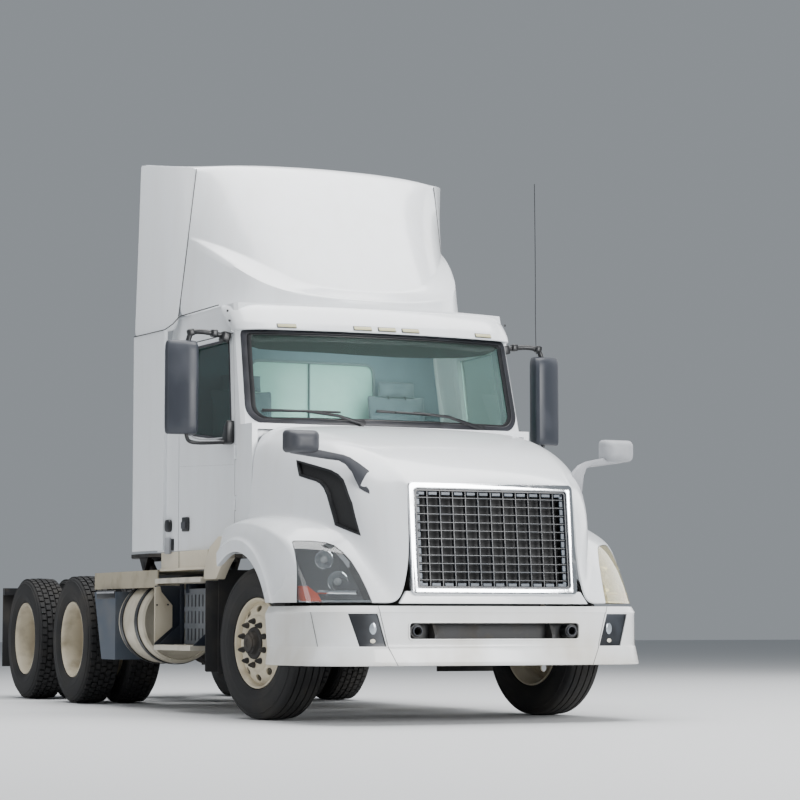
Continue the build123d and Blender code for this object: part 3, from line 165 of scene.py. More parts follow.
def speckle(material, place, scale, low, high, detail=3.0, stretch=(1, 1, 1)):
    mapped = addNode(material, "ShaderNodeMapping", {"Vector": place, "Scale": stretch}).outputs[0]
    noise = addNode(material, "ShaderNodeTexNoise", {"Vector": mapped, "Scale": scale, "Detail": detail})
    ranged = addNode(material, "ShaderNodeMapRange", {"Value": noise.outputs["Fac"], "From Min": low,
                                                      "From Max": high})
    return ranged.outputs[0]


def heightMask(material, place, low, high):
    split = addNode(material, "ShaderNodeSeparateXYZ", {"Vector": place})
    return addNode(material, "ShaderNodeMapRange", {"Value": split.outputs["Z"], "From Min": low,
                                                    "From Max": high}).outputs[0]


def roadPaint(name, clean, film, filmHeights, roughness=0.28, coat=0.5, grain=0.0):
    material, shader, place = newMaterial(name)
    low = heightMask(material, place, filmHeights[1], filmHeights[0])
    patches = speckle(material, place, 2.2, 0.35, 0.75)
    streaks = speckle(material, place, 9.0, 0.42, 0.78, stretch=(1, 1, 0.16))
    grime = addNode(material, "ShaderNodeMath", {0: low, 1: patches}, operation="MULTIPLY").outputs[0]
    faint = addNode(material, "ShaderNodeMath", {0: streaks, 1: 0.10}, operation="MULTIPLY").outputs[0]
    dirt = addNode(material, "ShaderNodeMath", {0: grime, 1: faint}, operation="ADD", use_clamp=True).outputs[0]
    colour = addNode(material, "ShaderNodeMix", {"Factor": dirt, "A": toLinear(clean), "B": toLinear(film)},
                     data_type="RGBA").outputs[colourResult]
    rough = addNode(material, "ShaderNodeMapRange", {"Value": dirt, "To Min": roughness,
                                                     "To Max": roughness + 0.35}).outputs[0]
    peel = addNode(material, "ShaderNodeTexNoise", {"Vector": place, "Scale": 140.0, "Detail": 1.0})
    bump = addNode(material, "ShaderNodeBump", {"Height": peel.outputs["Fac"], "Strength": 0.02 + grain,
                                                "Distance": 0.002}).outputs[0]
    setShader(material, shader, Base_Color=colour, Roughness=rough, Coat_Weight=coat, Coat_Roughness=0.08,
              Normal=bump)
    return material


def mouldedPlastic(name, colour, dust, roughness, grainScale=260.0, grainDepth=0.15, specular=0.5):
    material, shader, place = newMaterial(name)
    dusty = speckle(material, place, 3.5, 0.45, 0.85)
    mixed = addNode(material, "ShaderNodeMix", {"Factor": dusty, "A": toLinear(colour), "B": toLinear(dust)},
                    data_type="RGBA").outputs[colourResult]
    rough = addNode(material, "ShaderNodeMapRange", {"Value": dusty, "To Min": roughness,
                                                     "To Max": min(roughness + 0.2, 1)}).outputs[0]
    grain = addNode(material, "ShaderNodeTexNoise", {"Vector": place, "Scale": grainScale, "Detail": 2.0})
    bump = addNode(material, "ShaderNodeBump", {"Height": grain.outputs["Fac"], "Strength": grainDepth,
                                                "Distance": 0.001}).outputs[0]
    setShader(material, shader, Base_Color=mixed, Roughness=rough, Normal=bump, Specular_IOR_Level=specular)
    return material


def metalFinish(name, colour, dirt, roughness, metallic=1.0, patchScale=6.0, dirtShare=(0.5, 0.85)):
    material, shader, place = newMaterial(name)
    patch = speckle(material, place, patchScale, dirtShare[0], dirtShare[1])
    mixed = addNode(material, "ShaderNodeMix", {"Factor": patch, "A": toLinear(colour), "B": toLinear(dirt)},
                    data_type="RGBA").outputs[colourResult]
    rough = addNode(material, "ShaderNodeMapRange", {"Value": patch, "To Min": roughness,
                                                     "To Max": min(roughness + 0.35, 1)}).outputs[0]
    metal = addNode(material, "ShaderNodeMapRange", {"Value": patch, "To Min": metallic,
                                                     "To Max": metallic * 0.3}).outputs[0]
    grain = addNode(material, "ShaderNodeTexNoise", {"Vector": place, "Scale": 90.0, "Detail": 3.0})
    bump = addNode(material, "ShaderNodeBump", {"Height": grain.outputs["Fac"], "Strength": 0.12,
                                                "Distance": 0.002}).outputs[0]
    setShader(material, shader, Base_Color=mixed, Roughness=rough, Metallic=metal, Normal=bump)
    return material


def tintedGlass(name, tint, transmission=0.96):
    material, shader, _ = newMaterial(name)
    setShader(material, shader, Base_Color=toLinear(tint), Roughness=0.02, IOR=1.5,
              Transmission_Weight=transmission)
    return material


def clothFinish(name, colour, second, threadScale=420.0):
    material, shader, place = newMaterial(name)
    weave = addNode(material, "ShaderNodeTexChecker", {"Vector": place, "Scale": threadScale})
    tone = speckle(material, place, 14.0, 0.3, 0.8)
    mixed = addNode(material, "ShaderNodeMix", {"Factor": tone, "A": toLinear(colour), "B": toLinear(second)},
                    data_type="RGBA").outputs[colourResult]
    bump = addNode(material, "ShaderNodeBump", {"Height": weave.outputs["Fac"], "Strength": 0.2,
                                                "Distance": 0.001}).outputs[0]
    setShader(material, shader, Base_Color=mixed, Roughness=0.95, Sheen_Weight=0.3, Normal=bump)
    return material


finishes = {
    # white steel under a thin coat, dusty and streaked towards the sills
    "steelPaint": roadPaint("whiteEnamelOnSteel", "#e6e9ec", "#b5ab98", (0.35, 1.3)),
    # white moulded panels, a little glossier than the steel
    "shellPaint": roadPaint("whiteEnamelOnComposite", "#e8ebee", "#b8ae9b", (0.3, 1.0), roughness=0.24),
    # greyer white with more road dirt low down
    "bumperPaint": roadPaint("whiteEnamelOnBumper", "#e2e4e5", "#b3a994", (0.3, 0.9), roughness=0.3),
    # clear pane with a pale green cast
    "screenGlass": tintedGlass("laminatedGreenGlass", "#cfeae2"),
    # darker green: painted shade, standing for the dark cab seen through the near door's glass
    "doorGlassPaintedShade": tintedGlass("greenGlassDarkenedAsShade", "#5d7a72"),
    # milky grey glass of bulbs and lenses
    "lampGlass": mouldedPlastic("lampLens", "#8d9294", "#a8a69c", 0.15),
    # soft black with a faint blue sheen
    "sealRubber": mouldedPlastic("windscreenSealRubber", "#1f2025", "#3c3d45", 0.38),
    # deep green-black band without shine: painted shade under the sun visor, at the head of the windscreen
    "visorShadeFilm": mouldedPlastic("darkGreenVisorShade", "#07120f", "#0c1e1a", 0.6, 260.0, 0.0, specular=0.02),
    # satin silver bowl, dusty at its rim
    "fogBowl": metalFinish("fogLampBowl", "#a8b0b7", "#8a9097", 0.2, metallic=0.5, dirtShare=(.7, 1.1)),
    # warm clear bulb
    "clearBulb": mouldedPlastic("fogLampBulb", "#d8d4c4", "#b9b5a5", 0.1),
    # matt beige of the skirts and brackets: road dust, and painted shade on the white panels under the doors
    "beigeDustAndShade": roadPaint("beigePaintDustAndShade", "#cfc6b2", "#9c917b", (0.4, 1.25), roughness=0.5, coat=0.1),
    # pale worn aluminium with grey scuffs
    "stepMetal": metalFinish("paleStepAluminium", "#cfc9bb", "#9d9483", 0.45, metallic=0.35),
    # near-black blue: the hangers' dark paint with painted shade for the shadow behind the steps
    "hangerPaintAndShade": mouldedPlastic("darkBlueHangerPaintAndShade", "#1c2330", "#33363c", 0.5),
    # flat mid grey that lets the dark slots show
    "slotPanelGrey": mouldedPlastic("greyPerforatedCover", "#6d7177", "#55585c", 0.5),
    # deep red with a wet shine
    "redLens": mouldedPlastic("redTailLens", "#8c1210", "#5f0f0e", 0.15, 500.0, 0.1),
    # dull grey-blue behind the seats
    "liningBlue": mouldedPlastic("greyBlueCabLining", "#6f7f8c", "#5d6b76", 0.8),
    # soft pale grey trim
    "liningGrey": mouldedPlastic("greyCabLining", "#7b858b", "#666f75", 0.75),
    # pale turquoise on an opaque pane that glows against the lining: painted daylight seen through the rear window
    "rearGlassPaintedDaylight": mouldedPlastic("rearWindowPaintedDaylight", "#bfe4dd", "#a9d3cb", 0.25, 500.0, 0.0),
    # matt black line in a panel gap
    "jointShadow": mouldedPlastic("panelJoint", "#2b2c2e", "#3c3a36", 0.8),
    # blue-black plastic greyed by weather
    "mirrorShell": mouldedPlastic("weatheredMirrorShell", "#2b2f37", "#42454c", 0.42),
    # olive lens, faded by the sun
    "markerLens": mouldedPlastic("fadedMarkerLens", "#b5b08b", "#989271", 0.3),
    # clear lens over the bowls
    "clearLens": tintedGlass("clearLampLens", "#f4f7f8"),
    # lens gone yellow and a little cloudy
    "yellowedLens": tintedGlass("yellowedLampLens", "#efe6bd", transmission=.75),
    # bright orange corner of the lamp
    "amberLens": mouldedPlastic("amberTurnLens", "#d9480f", "#b23a0c", 0.12, 500.0, 0.1),
    # dark grey floor of the lamp
    "lampBezel": mouldedPlastic("darkLampBezel", "#3a3d42", "#565a60", 0.3),
    # satin black bars with soft highlights
    "grilleBlack": mouldedPlastic("satinBlackGrille", "#1b1d21", "#3d434b", 0.28),
    # grey-blue blocks round the bars
    "grilleGrey": mouldedPlastic("greyBlueGrilleBlocks", "#4e5762", "#3c424a", 0.35),
    # near-black sheet with a fine mesh grain that swallows the light: painted shade of the dark inside behind the
    # grille's bars and the bonnet vents
    "shadeScreenBlack": mouldedPlastic("blackScreenPaintedShade", "#0d0e10", "#17181a", 0.6, 900.0, 0.6),
    # chalky light grey plastic, sun-faded; on the far bonnet mirror the pale grey is painted light
    "paleGreyFadedAndLit": mouldedPlastic("paleGreyPlasticFadedAndLit", "#9a9ca0", "#7c7e83", 0.5),
    # sharp silver reflection
    "mirrorGlass": metalFinish("silveredMirror", "#c9d0d6", "#b9c0c6", 0.03, dirtShare=(0.8, 1.2)),
    # dark glass of the lamp's pocket
    "fogGlass": mouldedPlastic("fogLens", "#2b2d30", "#4a4a48", 0.15),
    # black plastic with a dull shine
    "blackTrim": mouldedPlastic("blackMouldedPlastic", "#16171a", "#2a2a2b", 0.35),
    # grained dark grey
    "greyTrim": mouldedPlastic("greyGrainedPlastic", "#34363c", "#4a4b4f", 0.5),
    # bright plated rim, lightly hazed
    "chrome": metalFinish("chromedPlastic", "#dfe2e5", "#b9b6ad", 0.1, dirtShare=(0.6, 1.0)),
    # black paint under brown dust
    "framePaint": metalFinish("blackChassisPaint", "#1b1c1e", "#4a443b", 0.5, metallic=0.0),
    # dark rough casting with dust
    "castIron": metalFinish("dustyCastIron", "#2c2a28", "#5a5248", 0.7, metallic=0.1),
    # cream enamel, stained brown
    "creamSteel": metalFinish("creamEnamelWheel", "#c9bfa8", "#8d8069", 0.5, metallic=0.0),
    # dark grey rubber, dusty on the shoulders
    "tyreRubber": mouldedPlastic("roadTyreRubber", "#1a1a1b", "#3a3733", 0.8, 120.0, 0.3),
    # matt black sheet with dried mud
    "flapRubber": mouldedPlastic("flapRubber", "#202022", "#48443d", 0.75, 60.0, 0.3),
    # oxidised aluminium, warm and dull
    "tankSkin": metalFinish("weatheredAluminiumTank", "#cdc5b2", "#9d927c", 0.4, metallic=0.35),
    # beige-grey deck with darker patches
    "deckMetal": metalFinish("dustyAluminiumDeck", "#b0a792", "#857b68", 0.55, metallic=0.3),
    # blue-grey cover with rubbed patches
    "boxPlastic": mouldedPlastic("blueGreyBoxCover", "#47505c", "#6a6a6a", 0.5),
    # woven grey-blue cloth
    "seatCloth": clothFinish("greySeatCloth", "#6b7681", "#56606a"),
    # dark matt dashboard
    "dashPlastic": mouldedPlastic("greyDashPlastic", "#2f3338", "#3c4045", 0.6),
    # grey enamel, oily brown in places
    "engineIron": metalFinish("engineEnamel", "#3c4145", "#4a443b", 0.6, metallic=0.2),
    # brown-black grease on bare steel
    "greasedSteel": metalFinish("greasedSteel", "#4a4744", "#1d1b19", 0.4, metallic=0.9),
}
slotFinish = {
    "white_panel": "steelPaint", "white_shell": "shellPaint", "glass_pane": "doorGlassPaintedShade",
    "lamp_glass": "lampGlass", "fog_glass": "fogGlass", "black_trim": "blackTrim",
    "grey_trim": "greyTrim", "chrome_trim": "chrome", "frame_paint": "framePaint",
    "cast_parts": "castIron", "cream_wheel": "creamSteel", "tyre_rubber": "tyreRubber",
    "rubber_flap": "flapRubber", "tank_skin": "tankSkin", "deck_metal": "deckMetal",
    "box_paint": "boxPlastic", "seat_cloth": "seatCloth", "dash_plastic": "dashPlastic",
    "engine_iron": "engineIron", "plate_steel": "greasedSteel",
}
nodeSlot = {row["node"]: row["material_slot"] for row in frame["record"]["subparts"]}
for nodeName, nodeObject in frame["nodes"].items():
    nodeObject.data.materials.clear()
    nodeObject.data.materials.append(finishes[slotFinish[nodeSlot[nodeName]]])
frame["nodes"]["cab_glass"].data.materials[0] = finishes["screenGlass"]
# the far door keeps the clear screen glass; the glass_pane slot takes the darker glass, painted shade
frame["nodes"]["door_glass_left"].data.materials[0] = finishes["screenGlass"]
frame["nodes"]["bumper"].data.materials[0] = finishes["bumperPaint"]
print("materials ready")


# modelling helpers
def nameActive(name):
    piece = bpy.context.object
    piece.name = name
    piece.data.name = name
    return piece


def pickAll():
    bpy.ops.mesh.select_all(action="SELECT")


def editAll():
    bpy.ops.object.mode_set(mode="EDIT")
    pickAll()


def leaveEdit():
    bpy.ops.object.mode_set(mode="OBJECT")


def tidyNormals():
    pickAll()
    bpy.ops.mesh.remove_doubles(threshold=0.00002)
    bpy.ops.mesh.normals_make_consistent(inside=False)


def drawLine(name, points):
    # a chain of edges through the points, left in edit mode
    bpy.ops.mesh.primitive_plane_add(size=0.02, location=(0, 0, 0))
    piece = nameActive(name)
    editAll()
    bpy.ops.mesh.merge(type="CENTER")
    bpy.ops.transform.translate(value=tuple(points[0]))
    for start, end in zip(points, points[1:]):
        bpy.ops.mesh.extrude_region_move(TRANSFORM_OT_translate={"value": tuple(Vector(end) - Vector(start))})
    return piece


def drawPlate(name, outline, lift):
    # a flat closed outline, given its thickness along lift
    piece = drawLine(name, list(outline) + [outline[0]])
    pickAll()
    bpy.ops.mesh.remove_doubles(threshold=0.00002)
    bpy.ops.mesh.edge_face_add()
    bpy.ops.mesh.extrude_region_move(TRANSFORM_OT_translate={"value": tuple(lift)})
    tidyNormals()
    leaveEdit()
    return piece


def spinLine(name, profile, steps=96, closed=True):
    # profile rows are distance along the axle and radius; the axle is Y through the origin
    points = [(0, along, radius) for along, radius in profile]
    piece = drawLine(name, points + [points[0]] if closed else points)
    pickAll()
    bpy.ops.mesh.spin(steps=steps, angle=2 * math.pi, center=(0, 0, 0), axis=(0, 1, 0))
    tidyNormals()
    leaveEdit()
    return piece


def repeatRound(count):
    # copies what is selected in edit mode about the axle
    bpy.ops.mesh.spin(steps=count, angle=2 * math.pi, center=(0, 0, 0), axis=(0, 1, 0), dupli=True)
    pickAll()
    bpy.ops.mesh.remove_doubles(threshold=0.00002)


def bentTube(name, points, radius, sides=8, order=3):
    bpy.ops.curve.primitive_nurbs_path_add(location=(0, 0, 0))
    path = bpy.context.object
    spline = path.data.splines[0]
    spline.points.add(max(len(points) - len(spline.points), 0))
    for index, knot in enumerate(spline.points):
        knot.co = (*points[min(index, len(points) - 1)], 1)
    spline.order_u = order
    spline.use_endpoint_u = True
    path.data.resolution_u = 6
    path.data.bevel_depth = radius
    path.data.bevel_resolution = max(sides // 4, 1)
    path.data.use_fill_caps = True
    bpy.ops.object.convert(target="MESH")
    return nameActive(name)


def useModifier(piece, kind, **settings):
    modifier = piece.modifiers.new(kind.lower(), kind)
    for name, value in settings.items():
        setattr(modifier, name, value)
    bpy.context.view_layer.objects.active = piece
    bpy.ops.object.modifier_apply(modifier=modifier.name)


def cutWith(piece, cutter, operation="DIFFERENCE"):
    useModifier(piece, "BOOLEAN", object=cutter, operation=operation, solver="EXACT")
    bpy.data.objects.remove(cutter, do_unlink=True)


def joinPieces(name, pieces):
    bpy.ops.object.select_all(action="DESELECT")
    for piece in pieces:
        piece.select_set(True)
    bpy.context.view_layer.objects.active = pieces[0]
    if len(pieces) > 1:
        bpy.ops.object.join()
    return nameActive(name)


def applyPlace(piece, place=None):
    bpy.ops.object.select_all(action="DESELECT")
    piece.select_set(True)
    bpy.context.view_layer.objects.active = piece
    if place is not None:
        piece.matrix_world = place
    bpy.ops.object.transform_apply(location=True, rotation=True, scale=True)
    if place is not None and place.determinant() < 0:
        editAll()
        bpy.ops.mesh.normals_make_consistent(inside=False)
        leaveEdit()


def copyPiece(piece, name):
    bpy.ops.object.select_all(action="DESELECT")
    piece.select_set(True)
    bpy.context.view_layer.objects.active = piece
    bpy.ops.object.duplicate()
    return nameActive(name)


def finishPiece(piece, body, finish, hides=(), bevel=0.0, segments=2, smooth=35):
    applyPlace(piece)
    if bevel:
        useModifier(piece, "BEVEL", width=bevel, segments=segments, limit_method="ANGLE",
                    angle_limit=math.radians(30), harden_normals=False)
    bpy.ops.object.shade_smooth_by_angle(angle=math.radians(smooth))
    piece.data.materials.clear()
    piece.data.materials.append(finishes[finish])
    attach(piece, body)
    if hides:
        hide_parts(*hides)
    return piece


sides = (("left", 1), ("right", -1))
cornerTurns = ((-1, -1), (1, -1), (1, 1), (-1, 1))


def squareOutline(left, low, right, high):
    return (left, low), (right, low), (right, high), (left, high)


# wheels
tyre = {
    "radius": 0.503,
    "crownDrop": 0.45,  # fall of the tread towards its edge, per square metre
    "grooves": (0.028, 0.076),  # from the middle of the tread
    "grooveWidth": 0.011,
    "grooveDepth": 0.013,
    "treadEdge": 0.108,
    "sidewall": ((0.116, 0.492), (0.1225, 0.478), (0.1285, 0.464), (0.1335, 0.4625), (0.1345, 0.457),
                 (0.1325, 0.4545), (0.1375, 0.430), (0.140, 0.400), (0.1385, 0.372), (0.1395, 0.369),
                 (0.1385, 0.365), (0.1355, 0.348), (0.129, 0.326), (0.1235, 0.3185), (0.1225, 0.311),
                 (0.113, 0.303), (0.1055, 0.3015), (0.1055, 0.2868)),
    "steps": 112,
}


def crownRadius(along):
    return tyre["radius"] - tyre["crownDrop"] * along * along


def treadLine(grooves, width, depth):
    line = [(0.0, crownRadius(0))]
    for middle in grooves:
        for along, sunk in ((middle - width / 2, 0), (middle - width / 3, depth), (middle + width / 3, depth),
                            (middle + width / 2, 0)):
            line.append((along, crownRadius(along) - sunk))
    line.append((tyre["treadEdge"], crownRadius(tyre["treadEdge"])))
    return line


def mirrorLine(half):
    return [(-along, radius) for along, radius in reversed(half)] + [p for p in half if p[0] > 0]


def buildSteerTyre():
    half = treadLine(tyre["grooves"], tyre["grooveWidth"], tyre["grooveDepth"]) + list(tyre["sidewall"])
    return spinLine("steerTyre", mirrorLine(half), tyre["steps"])


driveTread = {
    "rows": ((0.092, 0.034), (0.047, 0.036), (0.0, 0.034), (-0.047, 0.036), (-0.092, 0.034)),  # middle, width
    "lugs": 52,
    "lugLength": 0.046,
    "depth": 0.016,
}


def buildDriveTyre():
    sunk = driveTread["depth"]
    half = [(0.0, crownRadius(0) - sunk), (0.06, crownRadius(0.06) - sunk), (0.1, crownRadius(0.1) - sunk),
            (0.112, 0.484)] + [p for p in tyre["sidewall"] if p[1] < 0.48]
    carcass = spinLine("driveCarcass", mirrorLine(half), tyre["steps"])
    lugs = []
    for index, (along, width) in enumerate(driveTread["rows"]):
        top = crownRadius(abs(along) + width / 2)
        bpy.ops.mesh.primitive_cube_add(size=1, location=(0, 0, 0))
        lug = nameActive("driveLug")
        editAll()
        bpy.ops.transform.resize(value=(driveTread["lugLength"], width, sunk + 0.006))
        bpy.ops.transform.translate(value=(0, along, top - (sunk + 0.006) / 2))
        pickAll()
        bpy.ops.transform.rotate(value=index % 2 * math.pi / driveTread["lugs"], orient_axis="Y",
                                 center_override=(0, 0, 0))
        repeatRound(driveTread["lugs"])
        leaveEdit()
        lugs.append(lug)
    return joinPieces("driveTyre", [carcass] + lugs)


rim = {
    "twinOffset": 0.170,  # middle of each twin tyre from the clamped faces
    "handHoles": 10,
    "holeCircle": 0.226,
    "studCircle": 0.1429,
}


def barrelLine(centre):
    # the rim's barrel with its two flanges, its inner side stepped as rolled steel is
    outer = ((0.118, 0.2955), (0.116, 0.298), (0.1065, 0.298), (0.1054, 0.295), (0.1054, 0.2857),
             (0.02, 0.2857))
    inner = ((0.118, 0.288), (0.109, 0.2815), (0.085, 0.274), (0.04, 0.270), (0.0, 0.262))
    top = [(a, r) for a, r in outer] + [(-a, r) for a, r in reversed(outer)]
    low = [(-a, r) for a, r in inner] + [(a, r) for a, r in reversed(inner) if a > 0]
    return [(centre + a, r) for a, r in top + low]


def discLine(mount, side, thick=0.011):
    # a pressed disc from the clamped face at mount, its cone running towards side
    front = ((0.0, 0.108), (0.0, 0.172), (0.008, 0.183), (0.020, 0.190), (0.046, 0.250), (0.060, 0.262),
             (0.066, 0.274))
    outer = [(mount + side * a + thick / 2, r) for a, r in front]
    back = [(mount + side * a - thick / 2, r) for a, r in reversed(front)]
    return outer + back


def addHandHoles(disc, middle):
    bpy.ops.mesh.primitive_cylinder_add(vertices=20, radius=1, depth=0.3,
                                        rotation=(math.radians(90), 0, 0), location=(0, middle, 0))
    cutter = nameActive("handHoles")
    bpy.ops.object.transform_apply(location=True, rotation=True, scale=True)
    editAll()
    bpy.ops.transform.resize(value=(0.030, 1, 0.022))
    bpy.ops.transform.translate(value=(0, 0, rim["holeCircle"]))
    repeatRound(rim["handHoles"])
    bpy.ops.mesh.normals_make_consistent(inside=False)
    leaveEdit()
    cutWith(disc, cutter)


def buildNuts(face, cover=0.034):
    # nuts under pointed covers: a hexagon foot, then a cone with a rounded end
    bpy.ops.mesh.primitive_cylinder_add(vertices=12, radius=0.0205, depth=0.012,
                                        rotation=(math.radians(-90), 0, 0), location=(0, face + 0.006, 0))
    nut = nameActive("wheelNuts")
    bpy.ops.object.transform_apply(location=True, rotation=True, scale=True)
    bpy.ops.object.mode_set(mode="EDIT")
    bpy.ops.mesh.select_mode(type="FACE")
    bpy.ops.mesh.select_all(action="DESELECT")
    leaveEdit()
    cap = max(nut.data.polygons, key=lambda f: f.center.y)
    cap.select = True
    bpy.ops.object.mode_set(mode="EDIT")
    for length, size in ((0.002, 0.86), (cover * 0.55, 0.72), (cover * 0.28, 0.55), (cover * 0.12, 0.45)):
        bpy.ops.mesh.extrude_region_move(TRANSFORM_OT_translate={"value": (0, length, 0)})
        bpy.ops.transform.resize(value=(size, 1, size))
    bpy.ops.mesh.select_mode(type="VERT")
    pickAll()
    bpy.ops.transform.translate(value=(0, 0, rim["studCircle"]))
    repeatRound(10)
    leaveEdit()
    return nut


def buildFrontRim():
    barrel = spinLine("frontBarrel", barrelLine(0), 96)
    disc = spinLine("frontDisc", discLine(0.1335, -1), 96)
    addHandHoles(disc, 0.10)
    return joinPieces("frontRim", [barrel, disc])


def boltRing(name, along, circle, radius, depth, count):
    bpy.ops.mesh.primitive_cylinder_add(vertices=6, radius=radius, depth=depth,
                                        rotation=(math.radians(90), 0, 0), location=(0, along, 0))
    bolts = nameActive(name)
    bpy.ops.object.transform_apply(location=True, rotation=True, scale=True)
    editAll()
    bpy.ops.transform.translate(value=(0, 0, circle))
    repeatRound(count)
    leaveEdit()
    return bolts


def buildFrontHub():
    hub = spinLine("frontHub", ((-0.045, 0.0), (-0.045, 0.105), (0.085, 0.105), (0.098, 0.150), (0.1275, 0.150),
                                (0.128, 0.107), (0.146, 0.104), (0.150, 0.080), (0.160, 0.074), (0.178, 0.072),
                                (0.180, 0.056), (0.189, 0.052), (0.190, 0.030), (0.184, 0.026), (0.184, 0.0)),
                   64, closed=False)
    return joinPieces("frontHub", [hub, buildNuts(0.139), boltRing("capBolts", 0.181, 0.064, 0.006, 0.010, 6)])


def buildTwinRims():
    pieces = []
    for side in (1, -1):
        pieces.append(spinLine("twinBarrel", barrelLine(side * rim["twinOffset"]), 80))
        disc = spinLine("twinDisc", discLine(side * 0.0055, side), 80)
        addHandHoles(disc, side * 0.05)
        pieces.append(disc)
    return joinPieces("twinRims", pieces)


def buildDriveHub():
    hub = spinLine("driveHub", ((-0.185, 0.0), (-0.185, 0.105), (-0.06, 0.105), (-0.032, 0.165),
                                (-0.012, 0.165), (-0.011, 0.107), (0.011, 0.107), (0.012, 0.110),
                                (0.060, 0.092), (0.104, 0.086),
                                (0.110, 0.096), (0.122, 0.096), (0.130, 0.084), (0.130, 0.0)), 48, closed=False)
    return joinPieces("driveHub", [hub, boltRing("shaftBolts", 0.124, 0.084, 0.009, 0.014, 8),
                                   buildNuts(0.011, 0.02)])


axles = {
    "kingpin": 0.88, "frontOffset": 0.145, "steeredAtRest": 9,  # degrees to the left, as on the photograph
    "drive": (("mid", -3.858), ("rear", -5.178)), "twinHalf": 0.905,
}


def placeWheelSet():
    steerTyre, driveTyre = buildSteerTyre(), buildDriveTyre()
    innerTyre = copyPiece(driveTyre, "innerTyre")
    for tyreModel, offset in ((driveTyre, rim["twinOffset"]), (innerTyre, -rim["twinOffset"])):
        tyreModel.data.transform(Matrix.Translation((0, offset, 0)))
    twinTyres = joinPieces("twinTyres", [driveTyre, innerTyre])
    models = {"steerTyre": steerTyre, "frontRim": buildFrontRim(), "frontHub": buildFrontHub(),
              "twinTyres": twinTyres, "twinRims": buildTwinRims(), "driveHub": buildDriveHub()}
    for name, side in sides:
        flip = Matrix.Scale(side, 4, (0, 1, 0))
        turned = Matrix.Translation((frontAxleX, side * axles["kingpin"], tyre["radius"]))
        turned = turned @ Matrix.Rotation(math.radians(axles["steeredAtRest"]), 4, "Z")
        front = turned @ Matrix.Translation((0, side * axles["frontOffset"], 0)) @ flip
        for model, slot, finish, node in (("steerTyre", "tyre_rubber", "tyreRubber", "tyre_front_"),
                                          ("frontRim", "cream_wheel", "creamSteel", "rim_front_"),
                                          ("frontHub", "cast_parts", "castIron", None)):
            piece = copyPiece(models[model], f"{model}_{name}")
            applyPlace(piece, front)
            finishPiece(piece, f"front_wheel_{name}", finish, (node + name,) if node else ())
        for axle, distance in axles["drive"]:
            twin = Matrix.Translation((ahead(distance), side * axles["twinHalf"], tyre["radius"])) @ flip
            for model, slot, finish, node in (("twinTyres", "tyre_rubber", "tyreRubber", "tyres_"),
                                              ("twinRims", "cream_wheel", "creamSteel", "rims_"),
                                              ("driveHub", "cast_parts", "castIron", None)):
                piece = copyPiece(models[model], f"{model}_{axle}_{name}")
                applyPlace(piece, twin)
                finishPiece(piece, f"{axle}_wheels_{name}", finish,
                            (f"{node}{axle}_{name}",) if node else ())
    for model in models.values():
        bpy.data.objects.remove(model, do_unlink=True)


placeWheelSet()
print("wheels ready")


